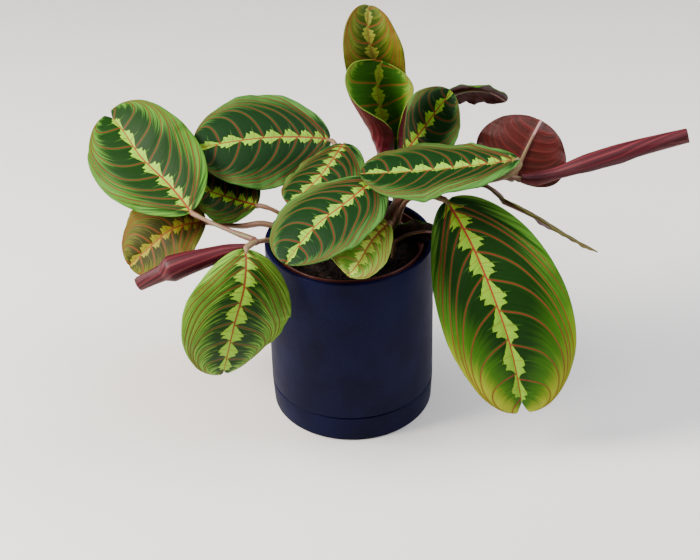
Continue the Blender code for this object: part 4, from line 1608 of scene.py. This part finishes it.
@dataclass(frozen=True)
class Soil:
    """The potting mix: a bumpy top with a hole for each stalk, and loose crumbs on it."""

    top: float = 109.0
    bump: float = 1.3
    base: float = 11.2
    low: float = 34.6
    edge: float = 44.0
    dip: float = 2.0
    margin: float = 0.985
    clod_scales: Pair = (0.22, 0.6)
    clod_height: float = 0.75
    hole_floor: float = 98.0
    clearance: float = 0.3
    rings: int = 70
    spokes: int = 220
    crumbs: int = 420
    crumb_margin: float = 3.0
    crumb_least: float = 0.45
    crumb_spread: float = 1.25
    crumb_rarity: float = 2.5
    crumb_sunk: float = 0.2
    crumb_dent: float = 0.32
    seed: int = 7

    def height(self, x: np.ndarray, y: np.ndarray) -> np.ndarray:
        """Work out the height of the bumpy top.

        Args:
            x: Places to the right, in millimetres.
            y: Places to the back.

        Returns:
            The height at each place.
        """
        coarse = np.sin(0.21 * x + 1.1) * np.cos(0.17 * y - 0.6)
        fine = np.sin(0.47 * x - 0.31 * y) + np.cos(0.39 * y + 0.43 * x + 2.0)
        return self.top + self.bump * (0.7 * coarse + 0.3 * fine)

    def lumps(self, x: np.ndarray, y: np.ndarray) -> np.ndarray:
        """Work out the small clods on the top, about 2 and 5 mm across.

        Args:
            x: Places to the right, in millimetres.
            y: Places to the back.

        Returns:
            The height to add at each place.
        """
        where = zip(x.ravel().tolist(), y.ravel().tolist())
        coarse, fine = self.clod_scales
        clods = []
        for a, b in where:
            large = noise.noise(Vector((a * coarse, b * coarse, 3.0)))
            clods.append(large + 0.5 * noise.noise(Vector((a * fine, b * fine, 9.0))))
        return self.clod_height * np.array(clods).reshape(x.shape)

    def build(self) -> None:
        """Build the soil and put it on the frame."""
        mix = PottingMix().make()
        share = np.linspace(1, 0, self.rings + 1)[:-1]
        turn = np.linspace(0, 2 * np.pi, self.spokes, endpoint=False)
        radius = self.edge * self.margin * share
        x = radius[:, None] * np.cos(turn)[None, :]
        y = radius[:, None] * np.sin(turn)[None, :]
        z = self.height(x, y) + self.lumps(x, y)
        for leaf in [leaf for leaves in SHOOTS.values() for leaf in leaves]:
            if leaf.stalk[0][2] > self.hole_floor:
                continue
            away = np.hypot(x - leaf.stalk[0][0], y - leaf.stalk[0][1])
            rim = leaf.stalk_radius + self.clearance
            z -= (z - self.hole_floor) * smooth(rim + 1.0, rim, away)
        points = [(0, 0, self.base)]
        for reach, level in ((self.low, self.base), (self.edge, self.top - self.dip)):
            ring = [reach * np.cos(turn), reach * np.sin(turn), np.full(len(turn), level)]
            points += np.stack(ring, axis=1).tolist()
        points += np.stack([x, y, z], axis=-1).reshape(-1, 3).tolist()
        points.append((0, 0, float(z[-1].mean())))
        spokes, rings = self.spokes, self.rings + 2
        faces = [(0, 1 + step, 1 + (step + 1) % spokes) for step in range(spokes)]
        for ring in range(rings - 1):
            low, high = 1 + ring * spokes, 1 + (ring + 1) * spokes
            faces += [(low + step, low + (step + 1) % spokes, high + (step + 1) % spokes, high + step)
                      for step in range(spokes)]
        last = 1 + (rings - 1) * spokes
        faces += [(last + step, last + (step + 1) % spokes, len(points) - 1) for step in range(spokes)]
        top = mesh_piece("potting_mix", (np.array(points, float) * MM).tolist(), faces, mix)
        seat(top, "soil")
        seat(self.loose(mix), "soil")

    def loose(self, mix: bpy.types.Material) -> bpy.types.Object:
        """Scatter crumbs that lie half sunk in the top.

        Args:
            mix: The soil's material.

        Returns:
            One object with all the crumbs.
        """
        source = np.random.default_rng(self.seed)
        work = bmesh.new()
        bmesh.ops.create_icosphere(work, subdivisions=2, radius=1.0)
        ball = np.array([vertex.co[:] for vertex in work.verts])
        sides = [[vertex.index for vertex in face.verts] for face in work.faces]
        work.free()
        points, faces = [], []
        for _ in range(self.crumbs):
            reach = (self.edge - self.crumb_margin) * np.sqrt(source.random())
            angle = 2 * np.pi * source.random()
            size = self.crumb_least + self.crumb_spread * source.random() ** self.crumb_rarity
            x, y = reach * np.cos(angle), reach * np.sin(angle)
            level = float(self.height(x, y)) + self.crumb_sunk * size
            wave = np.sin(ball @ source.normal(0, 2.2, 3) + 6 * source.random())
            dents = 1 + self.crumb_dent * wave
            shape = ball * dents[:, None] * size * source.uniform(0.65, 1.25, 3)
            faces += [[corner + len(points) * len(ball) for corner in side] for side in sides]
            points.append(shape + (x, y, level))
        return mesh_piece("soil_crumbs", (np.concatenate(points) * MM).tolist(), faces, mix)


@dataclass(frozen=True)
class BackdropPaper:
    """Uncoated backdrop paper, warm white."""

    name: str = "Backdrop paper, warm white"
    light: str = "#e9e7e2"
    shade: str = "#dedbd5"
    tooth_scale: float = 600.0
    roughness: float = 0.8

    def make(self) -> bpy.types.Material:
        """Make the paper.

        Returns:
            The finished material.
        """
        # The paper's tooth takes away every reflection: a matte ground with soft shadows
        sheet = Sheet(self.name)
        add = sheet.add
        tooth = add(NOISE, add(PLACE).outputs["Object"], self.tooth_scale, 3.0)
        colour = add(BLEND, add(TIMES, tooth, 0.3), self.light, self.shade)
        normal = add(BUMP, Height=tooth, Distance=0.1 * MM)
        return sheet.finish(Base_Color=colour, Roughness=self.roughness, Normal=normal)


@dataclass(frozen=True)
class Lamp:
    """A large soft round light that faces the plant."""

    name: str
    place: Point
    size: float
    power: float
    tint: str
    aim: float = 130.0

    def build(self) -> None:
        """Hang the light."""
        lamp = bpy.data.lights.new(self.name, "AREA")
        lamp.shape, lamp.size, lamp.energy = "DISK", self.size * MM, self.power
        lamp.color = linear(self.tint)[:3]
        holder = bpy.data.objects.new(self.name, lamp)
        holder.location = Vector(self.place) * MM
        ahead = Vector((0, 0, self.aim * MM)) - holder.location
        holder.rotation_euler = ahead.to_track_quat("-Z", "Y").to_euler()
        bpy.context.scene.collection.objects.link(holder)


@dataclass(frozen=True)
class Studio:
    """A plain pale floor, plain soft light and the camera at the photo's angle."""

    distance: float = 800.0
    height: float = 626.7
    focal: float = 1523.6
    picture: float = 700.0
    sensor: float = 36.0
    pitch: float = 33.93
    roll: float = -1.58
    floor: float = 6000.0
    sky: str = "#f3f5f8"
    sky_strength: float = 0.2
    lamps: tuple[Lamp, ...] = (
        Lamp("key", (-900, -150, 800), 620.0, 38.0, "#fff8ee"),
        Lamp("fill", (850, 50, 800), 700.0, 16.0, "#f4f6ff"),
        Lamp("top", (0, -60, 1300), 900.0, 7.0, "#ffffff"),
    )

    def build(self) -> None:
        """Set up the floor, the lights, the world and the camera."""
        reach = self.floor / 2 * MM
        corners = [(-reach, -reach, 0), (reach, -reach, 0), (reach, reach, 0), (-reach, reach, 0)]
        floor = mesh_piece("studio_floor", corners, [(0, 1, 2, 3)], BackdropPaper().make())
        for lamp in self.lamps:
            lamp.build()
        world = bpy.data.worlds.new("studio")
        world.use_nodes = True
        sky = world.node_tree.nodes["Background"]
        sky.inputs["Color"].default_value = linear(self.sky)
        sky.inputs["Strength"].default_value = self.sky_strength
        bpy.context.scene.world = world
        bpy.context.scene.camera = self.camera()

    def camera(self) -> bpy.types.Object:
        """Stand the camera where the photo was taken.

        Returns:
            The camera's object.
        """
        pitch, roll = np.radians(self.pitch), np.radians(self.roll)
        ahead = np.array([0, np.cos(pitch), -np.sin(pitch)])
        right = np.array([1.0, 0, 0])
        up = np.cross(right, ahead)
        turned_right = np.cos(roll) * right + np.sin(roll) * up
        turned_up = np.cos(roll) * up - np.sin(roll) * right
        lens = bpy.data.cameras.new("camera")
        lens.sensor_width = self.sensor
        lens.lens = self.focal * self.sensor / self.picture
        lens.clip_end = 20.0
        camera = bpy.data.objects.new("camera", lens)
        matrix = Matrix([turned_right.tolist(), turned_up.tolist(), (-ahead).tolist()]).transposed().to_4x4()
        matrix.translation = Vector((0, -self.distance, self.height)) * MM
        camera.matrix_world = matrix
        bpy.context.scene.collection.objects.link(camera)
        return camera


SHOOTS = {
    "left_shoot": LEFT_SHOOT,
    "olive_leaf": (OLIVE_LEAF,),
    "small_left_leaf": (SMALL_LEFT_LEAF,),
    "back_left_leaf": (BACK_LEFT_LEAF,),
    "middle_leaf": (MIDDLE_LEAF,),
    "front_leaf": (FRONT_LEAF,),
    "young_leaf": (YOUNG_LEAF,),
    "low_leaf": (LOW_LEAF,),
    "right_shoot": RIGHT_SHOOT,
    "hanging_leaf": (HANGING_LEAF,),
    "tall_leaf": (TALL_LEAF,),
    "funnel_leaf": (FUNNEL_LEAF,),
    "back_right_leaf": (BACK_RIGHT_LEAF,),
    "back_leaf": (BACK_LEAF,),
}


def main() -> None:
    """Build the plant, its pot and the studio, in order."""
    logging.basicConfig(level=logging.INFO, format="%(message)s")
    skin = StalkSkin().make()
    for place, (node, leaves) in enumerate(SHOOTS.items()):
        Shoot(node, leaves, 1 + 5 * place).build(skin)
    Ceramics().build()
    GrowPot().build()
    Soil().build()
    Studio().build()


if __name__ == "__main__":
    main()
